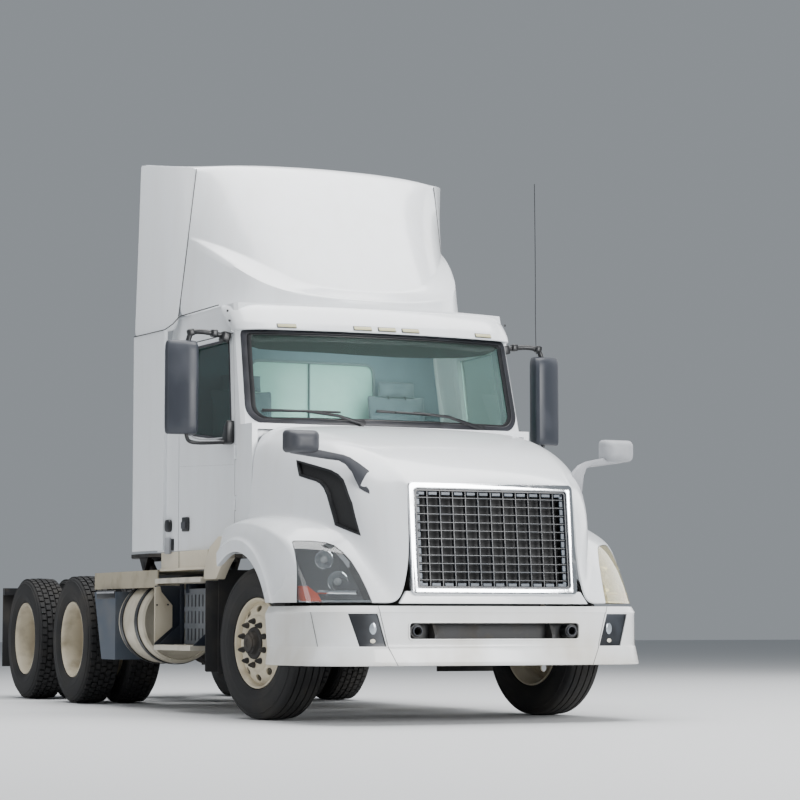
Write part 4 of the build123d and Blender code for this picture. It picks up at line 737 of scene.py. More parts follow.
# bonnet skin: rows of points from the middle outwards, each row from the tail to the front edge
bonnetSkin = {
    "rows": (
        # crease, points (ahead of the front axle, half width, height)
        (0.0, (-.285, 0, 1.988), (-.285, 0, 1.988), (-.02, 0, 1.962), (.25, 0, 1.918), (.50, 0, 1.866),
         (.74, 0, 1.800), (.93, 0, 1.724), (1.08, 0, 1.642), (1.170, 0, 1.582), (1.210, 0, 1.528)),
        (0.0, (-.285, .50, 1.982), (-.285, .50, 1.982), (-.02, .50, 1.954), (.25, .48, 1.909),
         (.50, .46, 1.856), (.74, .44, 1.789), (.93, .42, 1.712), (1.08, .40, 1.630), (1.170, .39, 1.571),
         (1.210, .385, 1.523)),
        (0.45, (-.285, .82, 1.966), (-.285, .82, 1.966), (-.02, .79, 1.936), (.25, .75, 1.888),
         (.50, .71, 1.830), (.74, .67, 1.760), (.93, .632, 1.681), (1.08, .602, 1.598), (1.170, .590, 1.545),
         (1.210, .580, 1.508)),
        (0.0, (-.285, .985, 1.925), (-.285, .985, 1.925), (-.02, .957, 1.890), (.25, .915, 1.836),
         (.50, .868, 1.772), (.74, .815, 1.694), (.93, .770, 1.607), (1.07, .728, 1.512), (1.150, .690, 1.44),
         (1.219, .592, 1.43)),
        (0.0, (-.285, 1.045, 1.78), (-.285, 1.045, 1.78), (-.02, 1.022, 1.748), (.25, .985, 1.695),
         (.50, .942, 1.630), (.74, .888, 1.548), (.93, .835, 1.456), (1.07, .778, 1.360), (1.165, .715, 1.29),
         (1.240, .594, 1.25)),
        (0.0, (-.285, 1.056, 1.54), (-.285, 1.056, 1.54), (-.02, 1.038, 1.520), (.25, 1.003, 1.488),
         (.50, .958, 1.442), (.74, .902, 1.378), (.93, .845, 1.292), (1.08, .780, 1.180), (1.180, .715, 1.08),
         (1.262, .598, 1.02)),
        (0.15, (-.285, 1.068, 1.335), (-.285, 1.068, 1.335), (-.02, 1.050, 1.345), (.25, 1.012, 1.335),
         (.50, .966, 1.305), (.74, .908, 1.250), (.91, .852, 1.178), (1.04, .795, 1.050), (1.150, .735, .91),
         (1.262, .655, .765)),
        (0.2, (-.445, 1.095, 1.292), (-.285, 1.092, 1.322), (-.02, 1.080, 1.336), (.25, 1.046, 1.328),
         (.50, 1.002, 1.296), (.74, .945, 1.240), (.91, .892, 1.163), (1.04, .848, 1.035), (1.150, .800, .90),
         (1.248, .762, .765)),
        (0.0, (-.445, 1.150, 1.290), (-.285, 1.155, 1.322), (-.02, 1.155, 1.334), (.25, 1.136, 1.316),
         (.48, 1.105, 1.275), (.68, 1.062, 1.213), (.84, 1.025, 1.133), (.985, .995, 1.005),
         (1.085, .965, .885), (1.160, .945, .765)),
        (0.6, (-.445, 1.196, 1.262), (-.285, 1.200, 1.297), (-.02, 1.205, 1.300), (.25, 1.208, 1.270),
         (.44, 1.204, 1.228), (.60, 1.190, 1.172), (.70, 1.172, 1.108), (.80, 1.165, .995), (.885, 1.160, .875),
         (.955, 1.158, .765)),
        (0.0, (-.445, 1.212, 1.205), (-.285, 1.218, 1.235), (-.05, 1.226, 1.245), (.17, 1.229, 1.215),
         (.345, 1.229, 1.160), (.485, 1.227, 1.090), (.59, 1.225, 1.010), (.665, 1.224, .925),
         (.715, 1.223, .845), (.755, 1.222, .765)),
    ),
    "arch": {"middle": (-.115, .48), "angles": (119, 108, 96, 85, 74, 63.5, 53, 43.5, 34.5, 22),
             # radius, half width, crease
             "rings": ((0.730, 1.226, 0.0), (0.712, 1.247, 0.6), (0.655, 1.247, 0.0), (0.630, 1.243, 0.7),
                       (0.628, 1.205, 0.0))},
    "bottom": .765,
    "tail": -.445,
    "wall": 0.012,
    "smoothing": 3,
}


def archRow(arch, radius, halfWidth):
    row = []
    for angle in arch["angles"]:
        turn = math.radians(angle)
        d = arch["middle"][0] + radius * math.cos(turn)
        z = arch["middle"][1] + radius * math.sin(turn)
        row.append([d, halfWidth, z])
    row[0][0] = bonnetSkin["tail"]
    row[0][2] = arch["middle"][1] + math.sqrt(radius ** 2 - (bonnetSkin["tail"] - arch["middle"][0]) ** 2)
    row[-1][2] = bonnetSkin["bottom"]
    row[-1][0] = arch["middle"][0] + math.sqrt(radius ** 2 - (bonnetSkin["bottom"] - arch["middle"][1]) ** 2)
    return row


def shapeGrid(name, rows, creases):
    # a grid whose points take the places of the rows, then its double points merged
    bpy.ops.mesh.primitive_grid_add(x_subdivisions=len(rows[0]) - 1, y_subdivisions=len(rows) - 1, size=2)
    piece = nameActive(name)
    columns = len(rows[0])
    for index, vertex in enumerate(piece.data.vertices):
        d, y, z = rows[index // columns][index % columns]
        vertex.co = (ahead(d), y, z)
    sharp = piece.data.attributes.new("crease_edge", "FLOAT", "EDGE")
    for edge in piece.data.edges:
        first, second = (divmod(v, columns) for v in edge.vertices)
        if first[0] == second[0]:
            sharp.data[edge.index].value = creases[first[0]]
    return piece


def mirrorWhole(piece):
    useModifier(piece, "MIRROR", use_axis=(False, True, False), use_clip=True, merge_threshold=0.0005)


def closeSkin(skin, outwards, wall):
    # turns an open skin's faces outwards and gives it a wall on its inner side
    bpy.context.view_layer.objects.active = skin
    bpy.ops.object.mode_set(mode="EDIT")
    tidyNormals()
    leaveEdit()
    if sum(f.normal.dot(Vector(outwards)) * f.area for f in skin.data.polygons) < 0:
        skin.data.flip_normals()
    useModifier(skin, "SOLIDIFY", thickness=wall, offset=-1)


def buildBonnetSkin(values):
    rows = [row[1:] for row in values["rows"]]
    creases = [row[0] for row in values["rows"]]
    for radius, halfWidth, crease in values["arch"]["rings"]:
        rows.append(archRow(values["arch"], radius, halfWidth))
        creases.append(crease)
    skin = shapeGrid("bonnetSkin", rows, creases)
    editAll()
    bpy.ops.mesh.remove_doubles(threshold=0.0003)
    bpy.ops.mesh.normals_make_consistent(inside=False)
    leaveEdit()
    mirrorWhole(skin)
    editAll()
    bpy.ops.mesh.normals_make_consistent(inside=False)
    leaveEdit()
    top = max(skin.data.polygons, key=lambda f: f.center.z)
    if top.normal.z < 0:
        skin.data.flip_normals()
    useModifier(skin, "SUBSURF", levels=values["smoothing"], render_levels=values["smoothing"])
    return skin


def prism(name, outline, axis, start, end):
    # the outline seen along axis, drawn as a solid between start and end on that axis
    places = []
    for first, second in outline:
        places.append((start, first, second) if axis == "X" else (ahead(first), start, second))
    lift = (end - start, 0, 0) if axis == "X" else (0, end - start, 0)
    return drawPlate(name, places, lift)


lampOutline = ((1.190, .757), (1.187, .80), (1.150, 1.150), (1.135, 1.160), (1.060, 1.158), (.985, 1.146),
               (.950, 1.128), (.918, 1.085), (.886, 1.020), (.862, .940), (.842, .850), (.826, .757))
ventOutline = ((.280, 1.703), (.392, 1.680), (.505, 1.656), (.665, 1.619), (.745, 1.588), (.806, 1.549),
               (.844, 1.503), (.921, 1.392), (1.001, 1.184), (.777, 1.257), (.730, 1.350), (.677, 1.450),
               (.634, 1.501), (.588, 1.533), (.545, 1.549), (.441, 1.572), (.350, 1.593))


# how far the cutters run, along the vehicle or outwards
cutReach = {"lamp": (ahead(.60), ahead(1.45)), "patch": (ahead(.50), ahead(1.45)), "side": (.55, 1.3),
            "bumper": (ahead(1.0), ahead(1.4))}


def sidedPrism(name, outline, side, axis, start, end):
    if axis == "X":
        return prism(name, [(y * side, z) for y, z in outline], "X", start, end)
    return prism(name, outline, "Y", side * start, side * end)


bonnetSill = {"halfWidth": .668, "low": .757, "high": .835, "front": 1.272}


def buildBonnet():
    skin = buildBonnetSkin(bonnetSkin)
    lens = copyPiece(skin, "lensSkin")
    useModifier(skin, "SOLIDIFY", thickness=bonnetSkin["wall"], offset=-1, use_even_offset=True)
    for _, side in sides:
        cutWith(skin, sidedPrism("lampCut", lampOutline, side, "X", *cutReach["lamp"]))
        cutWith(skin, sidedPrism("ventCut", ventOutline, side, "Y", *cutReach["side"]))
    finishPiece(skin, "bonnet", "shellPaint", ("bonnet",), smooth=40)
    wide, low, high, front = bonnetSill["halfWidth"], bonnetSill["low"], bonnetSill["high"], bonnetSill["front"]
    sill = drawPlate("bonnetSill", [(ahead(front + step), y, z) for step, y, z in
                                    ((0, -wide, low), (0, wide, low), (-.010, wide - .05, high),
                                     (-.010, .05 - wide, high))],
                     (-.030, 0, 0))
    finishPiece(sill, "bonnet", "shellPaint", bevel=.006, segments=3)
    return lens


lensSkin = buildBonnet()
print("bonnet ready")


# headlamps: clear lens, dark tub, two bowls, a turn lamp and a bright foot
headlamp = {
    "tubDepth": 0.095,
    "bowls": (((.965, .955, .895), .062, .05), ((.86, 1.005, 1.035), .056, .045)),  # middle, radius, depth
    "turnLamp": ((1.170, .772), (1.166, .868), (1.135, .866), (1.095, .815), (1.085, .772)),
    "foot": ((1.180, .760), (1.180, .776), (.830, .776), (.830, .760)),
    "bar": (((.93, 1.075, .826), (1.11, .888, .824)), .014),
}


def grownOutline(outline, grow):
    middleY = sum(y for y, _ in outline) / len(outline)
    middleZ = sum(z for _, z in outline) / len(outline)
    grown = []
    for y, z in outline:
        away = Vector((y - middleY, z - middleZ))
        away.normalize()
        grown.append((y + away.x * grow, z + away.y * grow))
    return grown


def thicken(piece, wall, offset=-1):
    useModifier(piece, "SOLIDIFY", thickness=wall, offset=offset, use_even_offset=True)


def shiftMesh(piece, shift):
    piece.data.transform(Matrix.Translation(shift))


def skinPatch(name, outline, side, sunk, wall):
    # a piece of the bonnet's own surface inside an outline seen from ahead, moved inwards by sunk
    patch = copyPiece(lensSkin, name)
    thicken(patch, wall)
    shiftMesh(patch, (-sunk, -side * sunk * .5, 0))
    cutWith(patch, sidedPrism("patchCut", outline, side, "X", *cutReach["patch"]), "INTERSECT")
    return patch


def buildBowl(name, middle, radius, depth, side):
    profile = [(depth * (t * t) - depth, radius * t) for t in (0, .2, .4, .6, .8, 1)]
    profile += [(-.001, radius * 1.06), (-.012, radius * 1.06)]
    profile += [(depth * (t * t) - depth - .006, radius * t) for t in (.95, .6, .3, 0)]
    bowl = spinLine(name, profile, 40, closed=False)
    face = Vector((1, side * .28, .0))
    turn = face.to_track_quat("Y", "Z").to_matrix().to_4x4()
    applyPlace(bowl, Matrix.Translation((ahead(middle[0]), side * middle[1], middle[2])) @ turn)
    return bowl


def buildBulb(name, middle, radius, side):
    profile = [(-.040, 0), (-.040, radius), (-.005, radius), (.006, radius * .8), (.014, radius * .45),
               (.017, 0)]
    bulb = spinLine(name, profile, 32, closed=False)
    turn = Vector((1, side * .28, 0)).to_track_quat("Y", "Z").to_matrix().to_4x4()
    applyPlace(bulb, Matrix.Translation((ahead(middle[0]), side * middle[1], middle[2])) @ turn)
    return bulb


def buildHeadlamp(name, side):
    lens = skinPatch(f"lampLens_{name}", grownOutline(lampOutline, -.004), side, .001, .004)
    finishPiece(lens, "bonnet", "clearLens" if side < 0 else "yellowedLens", ("headlamps",))
    seal = skinPatch(f"lampSeal_{name}", grownOutline(lampOutline, -.0005), side, .004, .012)
    cutWith(seal, sidedPrism("sealCut", grownOutline(lampOutline, -.0065), side, "X", *cutReach["patch"]))
    finishPiece(seal, "bonnet", "blackTrim")
    tub = skinPatch(f"lampTub_{name}", grownOutline(lampOutline, -.002), side, headlamp["tubDepth"], .006)
    finishPiece(tub, "bonnet", "lampBezel")
    bright = []
    for index, (middle, radius, depth) in enumerate(headlamp["bowls"]):
        bright.append(buildBowl(f"bowl{index}", middle, radius, depth, side))
    bright.append(skinPatch("lampFoot", headlamp["foot"], side, .014, .02))
    start, end = headlamp["bar"][0]
    bright.append(bentTube("lampBar", [(ahead(p[0]), side * p[1], p[2]) for p in (start, end)],
                           headlamp["bar"][1], order=2))
    finishPiece(joinPieces(f"lampReflectors_{name}", bright), "bonnet", "chrome")
    bulbs = [buildBulb(f"bulb{index}", middle, radius * .42, side)
             for index, (middle, radius, depth) in enumerate(headlamp["bowls"])]
    finishPiece(joinPieces(f"lampBulbs_{name}", bulbs), "bonnet", "lampGlass")
    turn = skinPatch(f"turnLamp_{name}", headlamp["turnLamp"], side, .008, .03)
    finishPiece(turn, "bonnet", "amberLens")


for name, side in sides:
    buildHeadlamp(name, side)
print("headlamps ready")

# grille: surround, bars and a near-black sheet behind them, painted shade of the dark inside
grille = {
    "top": (1.207, 1.526), "bottom": (1.278, .809),
    "half": .537, "halfHeight": .314, "band": .048,
    "outerHalfHeight": .359, "outerCorner": .034, "corner": .018,
    "surroundDepth": (-.045, .010), "frameDepth": (-.060, -.004), "frameWidth": .012,
    "columns": 12, "rows": 12, "barWidth": .008, "barDepth": .030,
    "barEnd": .010, "columnFront": -.012, "rowFront": -.014, "blockFront": -.020, "blockDepth": .012,
    "screenAt": -.075, "screenThick": .004,
}
faceTop = Vector((ahead(grille["top"][0]), 0, grille["top"][1]))
faceBottom = Vector((ahead(grille["bottom"][0]), 0, grille["bottom"][1]))
faceMiddle = (faceTop + faceBottom) / 2
faceUp = (faceTop - faceBottom).normalized()
faceOut = Vector((0, 1, 0)).cross(faceUp).normalized()


def onFace(across, up, out=0.0):
    return tuple(faceMiddle + Vector((0, across, 0)) + faceUp * up + faceOut * out)


def roundedOutline(halfWidth, halfHeight, corner, parts=5):
    outline = []
    for middleX, middleY, start in ((1, 1, 0), (-1, 1, 90), (-1, -1, 180), (1, -1, 270)):
        for step in range(parts + 1):
            turn = math.radians(start + 90 * step / parts)
            outline.append((middleX * (halfWidth - corner) + corner * math.cos(turn),
                            middleY * (halfHeight - corner) + corner * math.sin(turn)))
    return outline


def faceFrame(name, outer, inner, low, high):
    # a flat ring between two outlines on the grille's face
    ring = drawPlate(name, [onFace(a, b, low) for a, b in outer], faceOut * (high - low))
    hole = drawPlate("ringHole", [onFace(a, b, low - .02) for a, b in inner], faceOut * (high - low + .04))
    cutWith(ring, hole)
    return ring


def buildGrille(values):
    half, halfHeight, frameWidth = values["half"], values["halfHeight"], values["frameWidth"]
    surround = faceFrame("grilleSurround", roundedOutline(half + values["band"], values["outerHalfHeight"],
                                                          values["outerCorner"]),
                         roundedOutline(half, halfHeight, values["corner"]), *values["surroundDepth"])
    finishPiece(surround, "bonnet", "chrome", ("grille_surround",), bevel=.007, segments=3)
    bars = [faceFrame("grilleFrame", roundedOutline(half - .0005, halfHeight - .0005, values["corner"]),
                      roundedOutline(half - frameWidth, halfHeight - frameWidth, frameWidth),
                      *values["frameDepth"])]
    barEnd, pitch, rowPitch = values["barEnd"], 2 * half / values["columns"], 2 * halfHeight / values["rows"]
    for column in range(values["columns"] - 1):
        across = -half + pitch * (column + 1)
        bars.append(barPlate(across, across, -halfHeight + barEnd, halfHeight - barEnd, values["barWidth"],
                             values["barDepth"], values["columnFront"]))
    for row in range(values["rows"] - 1):
        up = -halfHeight + rowPitch * (row + 1)
        bars.append(barPlate(-half + barEnd, half - barEnd, up, up, values["barWidth"] * .9,
                             values["barDepth"] * .8, values["rowFront"]))
    finishPiece(joinPieces("grilleBars", bars), "bonnet", "grilleBlack", ("grille",), bevel=.0015,
                segments=1)
    places = []  # middle of each block and its half sizes
    for column in range(values["columns"]):
        for up in (-halfHeight + .024, halfHeight - .024):
            places.append((-half + pitch * (column + .5), up, .030, .010))
    for row in range(values["rows"]):
        for across in (-half + .026, half - .026):
            places.append((across, -halfHeight + rowPitch * (row + .5), .012, .019))
    blocks = [barPlate(across - wide, across + wide, up - tall, up + tall, 0, values["blockDepth"],
                       values["blockFront"]) for across, up, wide, tall in places]
    finishPiece(joinPieces("grilleBlocks", blocks), "bonnet", "grilleGrey", bevel=.002,
                segments=1)
    corners = squareOutline(-half, -halfHeight, half, halfHeight)
    # near-black sheet behind the bars: painted shade
    screen = drawPlate("grilleShadeScreen", [onFace(a, b, values["screenAt"]) for a, b in corners],
                       faceOut * -values["screenThick"])
    finishPiece(screen, "bonnet", "shadeScreenBlack")


def barPlate(left, right, low, high, width, depth, front):
    # a bar on the grille's face, from its front inwards by depth
    wide = width / 2 if left == right else 0
    tall = width / 2 if low == high else 0
    outline = ((left - wide, low - tall), (right + wide, low - tall), (right + wide, high + tall),
               (left - wide, high + tall))
    return drawPlate("grilleBar", [onFace(a, b, front) for a, b in outline], faceOut * -depth)


buildGrille(grille)
print("grille ready")

# vents in the bonnet's sides: a frame and a sunk near-black panel that follow the vent, the panel painted shade
bonnetVent = {"frame": .014, "sunk": .022}


def sideSkin(name, outline, side, sunk, wall):
    patch = copyPiece(lensSkin, name)
    thicken(patch, wall)
    shiftMesh(patch, (0, -side * sunk, -sunk * .3))
    cutWith(patch, sidedPrism("ventPatch", outline, side, "Y", *cutReach["side"]), "INTERSECT")
    return patch


def buildVent(name, side):
    ring = sideSkin(f"ventFrame_{name}", grownOutline(ventOutline, -.0015), side, -.002, .022)
    hole = insetOutline(ventOutline, bonnetVent["frame"])
    cutWith(ring, sidedPrism("ventInner", hole, side, "Y", *cutReach["side"]))
    finishPiece(ring, "bonnet", "blackTrim", ("bonnet_vents",))
    # sunk near-black panel in the vent: painted shade
    shadePanel = sideSkin(f"ventShadePanel_{name}", insetOutline(ventOutline, bonnetVent["frame"] * .6), side,
                     bonnetVent["sunk"], .006)
    finishPiece(shadePanel, "bonnet", "shadeScreenBlack")


def insetOutline(outline, inset):
    # moves each point of the outline inwards along the bisector of its corner
    points = [Vector(p) for p in outline]
    area = sum(a.x * b.y - b.x * a.y for a, b in zip(points, points[1:] + points[:1]))
    turn = 1 if area > 0 else -1
    moved = []
    for index, point in enumerate(points):
        before = (point - points[index - 1]).normalized()
        after = (points[(index + 1) % len(points)] - point).normalized()
        first = Vector((-before.y, before.x)) * turn
        second = Vector((-after.y, after.x)) * turn
        both = (first + second).normalized()
        moved.append(tuple(point + both * inset / max(both.dot(first), .5)))
    return moved


for name, side in sides:
    buildVent(name, side)
print("bonnet vents ready")

# mirrors on the bonnet's shoulders
bonnetMirror = {
    "across": (1.028, 1.258), "height": (1.714, 1.860),
    # from the glass forwards: ahead, share of the full size, corner radius
    "rings": ((.770, .96, .03), (.772, 1.0, .03), (.800, 1.0, .032), (.840, .95, .036), (.872, .80, .04),
              (.888, .58, .035), (.893, .30, .02)),
    "noseFall": .012, "glass": ((.768, .84), (.7705, .90)), "glassCorner": .02,
    "blade": (  # upper and lower edge of the arm, which widens to a pointed foot on the bonnet
        ((.800, 1.225, 1.745), (.800, 1.225, 1.722)), ((.820, 1.089, 1.740), (.820, 1.089, 1.702)),
        ((.832, 1.026, 1.735), (.845, .987, 1.687)), ((.846, .960, 1.722), (.862, .915, 1.679)),
        ((.868, .879, 1.706), (.876, .876, 1.656)), ((.882, .838, 1.690), (.906, .840, 1.600)),
        ((.912, .785, 1.650), (.926, .822, 1.545)), ((.945, .733, 1.603), (.950, .803, 1.489)),
        ((.990, .745, 1.530), (.990, .789, 1.469)), ((1.027, .765, 1.458), (1.031, .768, 1.449))),
    "thick": .036, "inward": (-.75, -.55, -.35), "bulge": .12,
}


def ringLoft(name, rings):
    # a closed skin over rings of points that all have the same count
    count = len(rings[0])
    bpy.ops.mesh.primitive_grid_add(x_subdivisions=count, y_subdivisions=len(rings) - 1, size=2)
    tube = nameActive(name)
    for index, vertex in enumerate(tube.data.vertices):
        vertex.co = rings[index // (count + 1)][index % (count + 1) % count]
    editAll()
    bpy.ops.mesh.remove_doubles(threshold=0.00002)
    bpy.ops.mesh.select_all(action="DESELECT")
    bpy.ops.mesh.select_mode(type="EDGE")
    bpy.ops.mesh.select_non_manifold()
    bpy.ops.mesh.fill_holes(sides=0)
    tidyNormals()
    bpy.ops.mesh.select_mode(type="VERT")
    leaveEdit()
    return tube


def buildBonnetMirror(name, side):
    (inner, outer), (low, high) = bonnetMirror["across"], bonnetMirror["height"]
    middleY, middleZ = side * (inner + outer) / 2, (low + high) / 2
    halfY, halfZ = (outer - inner) / 2, (high - low) / 2
    rings = []
    for d, size, corner in bonnetMirror["rings"]:
        fall = (1 - size) * bonnetMirror["noseFall"]
        rings.append([(ahead(d), middleY + a, middleZ + b - fall)
                      for a, b in roundedOutline(halfY * size, halfZ * size, corner * size)])
    shell = ringLoft("mirrorShell", rings)
    blade = []
    for upper, lower in bonnetMirror["blade"]:
        high, low = Vector(upper), Vector(lower)
        inward = Vector(bonnetMirror["inward"]).normalized() * bonnetMirror["thick"]
        middle = (high + low) / 2 - inward * bonnetMirror["bulge"]
        ring = (high, middle, low, low + inward, middle + inward, high + inward)
        blade.append([(ahead(p.x), side * p.y, p.z) for p in ring])
    stem = ringLoft("mirrorStem", blade)
    useModifier(stem, "BEVEL", width=.004, segments=2, limit_method="ANGLE", angle_limit=math.radians(40))
    piece = joinPieces(f"bonnetMirror_{name}", [shell, stem])
    # the far mirror is pale grey and the near one dark grey: painted light on one of a matched pair
    finishPiece(piece, "bonnet", "greyTrim" if side < 0 else "paleGreyFadedAndLit", ("bonnet_mirrors",),
                smooth=50)
    glass = ringLoft(f"bonnetMirrorGlass_{name}", [
        [(ahead(d), middleY + a, middleZ + b)
         for a, b in roundedOutline(halfY * size, halfZ * size, bonnetMirror["glassCorner"])]
        for d, size in bonnetMirror["glass"]])
    finishPiece(glass, "bonnet", "mirrorGlass")


for name, side in sides:
    buildBonnetMirror(name, side)
bpy.data.objects.remove(lensSkin, do_unlink=True)
print("bonnet mirrors ready")

# the cab's front: outlines are across the vehicle and height, bent onto the bowed screen or visor


def softOutline(corners, radius, steps=5):
    # rounds the corners of a flat outline; radius is one value or one for each corner
    radii = radius if isinstance(radius, (list, tuple)) else [radius] * len(corners)
    points = []
    for index, corner in enumerate(corners):
        here = Vector(corner)
        back = (Vector(corners[index - 1]) - here).normalized()
        onward = (Vector(corners[(index + 1) % len(corners)]) - here).normalized()
        half = back.angle(onward) / 2
        middle = here + (back + onward).normalized() * radii[index] / math.sin(half)
        start = here + back * radii[index] / math.tan(half) - middle
        turn = start.angle_signed(here + onward * radii[index] / math.tan(half) - middle)
        for step in range(steps + 1):
            points.append(tuple(middle + Matrix.Rotation(-turn * step / steps, 2) @ start))
    return points


def splitOutline(points, longest):
    # adds points on the long runs of an outline, so that it can follow a bowed face
    split = []
    for first, second in zip(points, points[1:] + points[:1]):
        count = max(math.ceil((Vector(second) - Vector(first)).length / longest), 1)
        split += [tuple(Vector(first).lerp(Vector(second), step / count)) for step in range(count)]
    return split


def bendOnto(piece, face):
    for vertex in piece.data.vertices:
        vertex.co.x += ahead(face(vertex.co.y, vertex.co.z))


def ringBand(name, outer, inner, thick, face, lift=0.0):
    # a flat ring between two outlines with the same number of points, then bent onto the face
    loops = []
    for outline in (outer, inner):
        loop = drawLine(name, [(lift, y, z) for y, z in outline + outline[:1]])
        pickAll()
        bpy.ops.mesh.remove_doubles(threshold=0.00002)
        leaveEdit()
        loops.append(loop)
    ring = joinPieces(name, loops)
    editAll()
    bpy.ops.mesh.bridge_edge_loops()
    pickAll()
    bpy.ops.mesh.extrude_region_move(TRANSFORM_OT_translate={"value": (-thick, 0, 0)})
    tidyNormals()
    leaveEdit()
    bendOnto(ring, face)
    return ring


windscreen = {"pillar": -.439, "rake": .2776, "half": 1.046, "lean": .0388, "bow": .150, "belt": 1.986}


def screenFace(y, z):
    # distance ahead of the bowed windscreen's outer face
    rise = z - windscreen["belt"]
    half = windscreen["half"] - windscreen["lean"] * rise
    radius = (half ** 2 / windscreen["bow"] + windscreen["bow"]) / 2
    return (windscreen["pillar"] - windscreen["rake"] * rise + windscreen["bow"]
            - radius + math.sqrt(radius ** 2 - min(abs(y), half) ** 2))


screenSeal = {
    "outer": ((-1.042, 1.989), (1.042, 1.989), (1.018, 2.668), (-1.018, 2.668)),
    "inner": ((-.997, 2.026), (.997, 2.026), (.978, 2.632), (-.978, 2.632)),
    "outerRadius": (.130, .130, .055, .055),
    "innerRadius": (.095, .095, .030, .030),
    "lipRadius": (.085, .085, .024, .024), "middle": 2.329, "lipWide": .970, "lipHigh": .962,
}


def loopPoints(corners, radii, count=9):
    # as many points on each side of the outline, whatever its size
    corner = softOutline(corners, list(radii), steps=count - 1)
    points = []
    for index in range(len(corners)):
        arc = corner[index * count:(index + 1) * count]
        following = corner[((index + 1) * count) % len(corner)]
        runs = [tuple(Vector(arc[-1]).lerp(Vector(following), step / count)) for step in range(1, count)]
        points += arc + runs
    return points


def buildScreenSeal(values):
    outer = loopPoints(values["outer"], values["outerRadius"])
    inner = loopPoints(values["inner"], values["innerRadius"])
    seal = ringBand("screenSeal", outer, inner, .026, screenFace, lift=.007)
    finishPiece(seal, "chassis", "sealRubber", bevel=.006, segments=3, smooth=50)
    middle = values["middle"]
    lip = [(y * values["lipWide"], middle + (z - middle) * values["lipHigh"]) for y, z in values["inner"]]
    groove = ringBand("screenSealLip", inner, loopPoints(lip, values["lipRadius"]), .020, screenFace, lift=.003)
    finishPiece(groove, "chassis", "blackTrim", bevel=.003)


visorShadeBand = ((-.985, 2.640), (-.992, 2.576), (-.955, 2.540), (-.897, 2.519), (-.70, 2.508), (-.45, 2.503),
           (-.2, 2.495), (.1, 2.490), (.35, 2.497), (.62, 2.514), (.839, 2.548), (.930, 2.585), (.965, 2.620),
           (.972, 2.640))


def buildVisorShadeBand():
    # painted shade under the visor: a dark band at the head of the glass, a thin film just inside the pane, narrow
    # strips so that it can bow
    top = [(y, 2.642) for y, _ in visorShadeBand[1:-1]]
    low = list(visorShadeBand[1:-1])
    bpy.ops.mesh.primitive_grid_add(x_subdivisions=len(top) - 1, y_subdivisions=1, size=2)
    band = nameActive("visorShadeBand")
    for index, vertex in enumerate(band.data.vertices):
        y, z = (low if index < len(low) else top)[index % len(low)]
        vertex.co = (-.0240, y, z)
    useModifier(band, "SUBSURF", levels=2, render_levels=2, subdivision_type="SIMPLE")
    bendOnto(band, screenFace)
    useModifier(band, "SOLIDIFY", thickness=.002)
    finishPiece(band, "chassis", "visorShadeFilm", smooth=60)


visor = {
    "low": 2.645, "high": 2.850,
    # height, set back from the visor's face, crease of the row
    "rows": ((2.652, .052, 0.0), (2.645, .030, .3), (2.650, .010, .4), (2.698, -.002, .55), (2.742, -.004, 0.0),
             (2.800, .004, 0.0), (2.838, .030, 0.0), (2.854, .075, .2)),
    "stations": (0, .2, .4, .6, .8, .88, .95, 1.0, 1.03, 1.05, 1.058),  # half widths of the rows' points
    "lampWidth": .128, "lampHeight": .024, "lampMiddle": 2.676,
    # name, how much larger than the lens, how far it stands out, thickness, slot, finish
    "lampParts": (("Foot", .004, .003, .014, "grey_trim", "greyTrim"),
                  ("Lens", 0.0, .011, .016, "lamp_glass", "markerLens")),
    "bolts": ((-.715, 2.792), (-.690, 2.722)), "boltHalf": 1.066, "boltLean": .068,
    "lamps": (-.741, -.196, -.012, .170, .768),
}


def visorFace(y, z):
    # distance ahead of the visor's face, from the same plan curves as its solid
    rise = (z - visor["low"]) / (visor["high"] - visor["low"])
    nose, front = -.362 - .143 * rise, -.435 - .155 * rise
    sag = nose - front
    radius = (.64 / sag + sag) / 2
    if abs(y) <= .8:
        return nose - radius + math.sqrt(radius ** 2 - y * y)
    reach = min((abs(y) - .8) / (.256 + .016 * rise), 1)
    return front - (.163 + .082 * rise) * (1 - math.sqrt(1 - (reach * .985) ** 2)) / .827


def buildVisor(values):
    rows = []
    for z, back, _ in values["rows"]:
        rise = (z - values["low"]) / (values["high"] - values["low"])
        row = [(visorFace(y, z) - back, y * (1 - .4 * max(back, 0)), z) for y in values["stations"]]
        row.append((row[-1][0] - .06, 1.060 + .014 * rise - back * .5, z))
        row.append((-.66 - .24 * rise, 1.062 + .014 * rise - back * .5, z))
        rows.append(row)
    hood = shapeGrid("sunVisor", rows, [row[2] for row in values["rows"]])
    mirrorWhole(hood)
    useModifier(hood, "SUBSURF", levels=2, render_levels=2)
    closeSkin(hood, (1, 0, 0), .010)
    finishPiece(hood, "chassis", "shellPaint", ("sun_visor",), smooth=45)
    for index, middle in enumerate(values["lamps"]):
        for kind, grow, lift, thick, slot, finish in values["lampParts"]:
            wide, high = values["lampWidth"] / 2 + grow, values["lampHeight"] / 2 + grow
            corners = [(middle + across * wide, values["lampMiddle"] + up * high) for across, up in cornerTurns]
            outline = splitOutline(softOutline(corners, .005, 3), .03)
            lamp = drawPlate(f"visorLamp{kind}_{index}", [(lift, y, z) for y, z in outline], (-thick, 0, 0))
            bendOnto(lamp, visorFace)
            finishPiece(lamp, "chassis", finish, bevel=.002)
    for _, side in sides:
        for d, z in values["bolts"]:
            half = side * (values["boltHalf"] + (z - values["low"]) * values["boltLean"])
            bpy.ops.mesh.primitive_cylinder_add(vertices=16, radius=.009, depth=.012,
                                                rotation=(math.radians(90), 0, 0), location=(ahead(d), half, z))
            finishPiece(nameActive(f"visorBolt_{side}_{int(z * 1000)}"), "chassis", "blackTrim",
                        bevel=.003)


buildScreenSeal(screenSeal)
buildVisorShadeBand()
buildVisor(visor)
print("windscreen and visor ready")

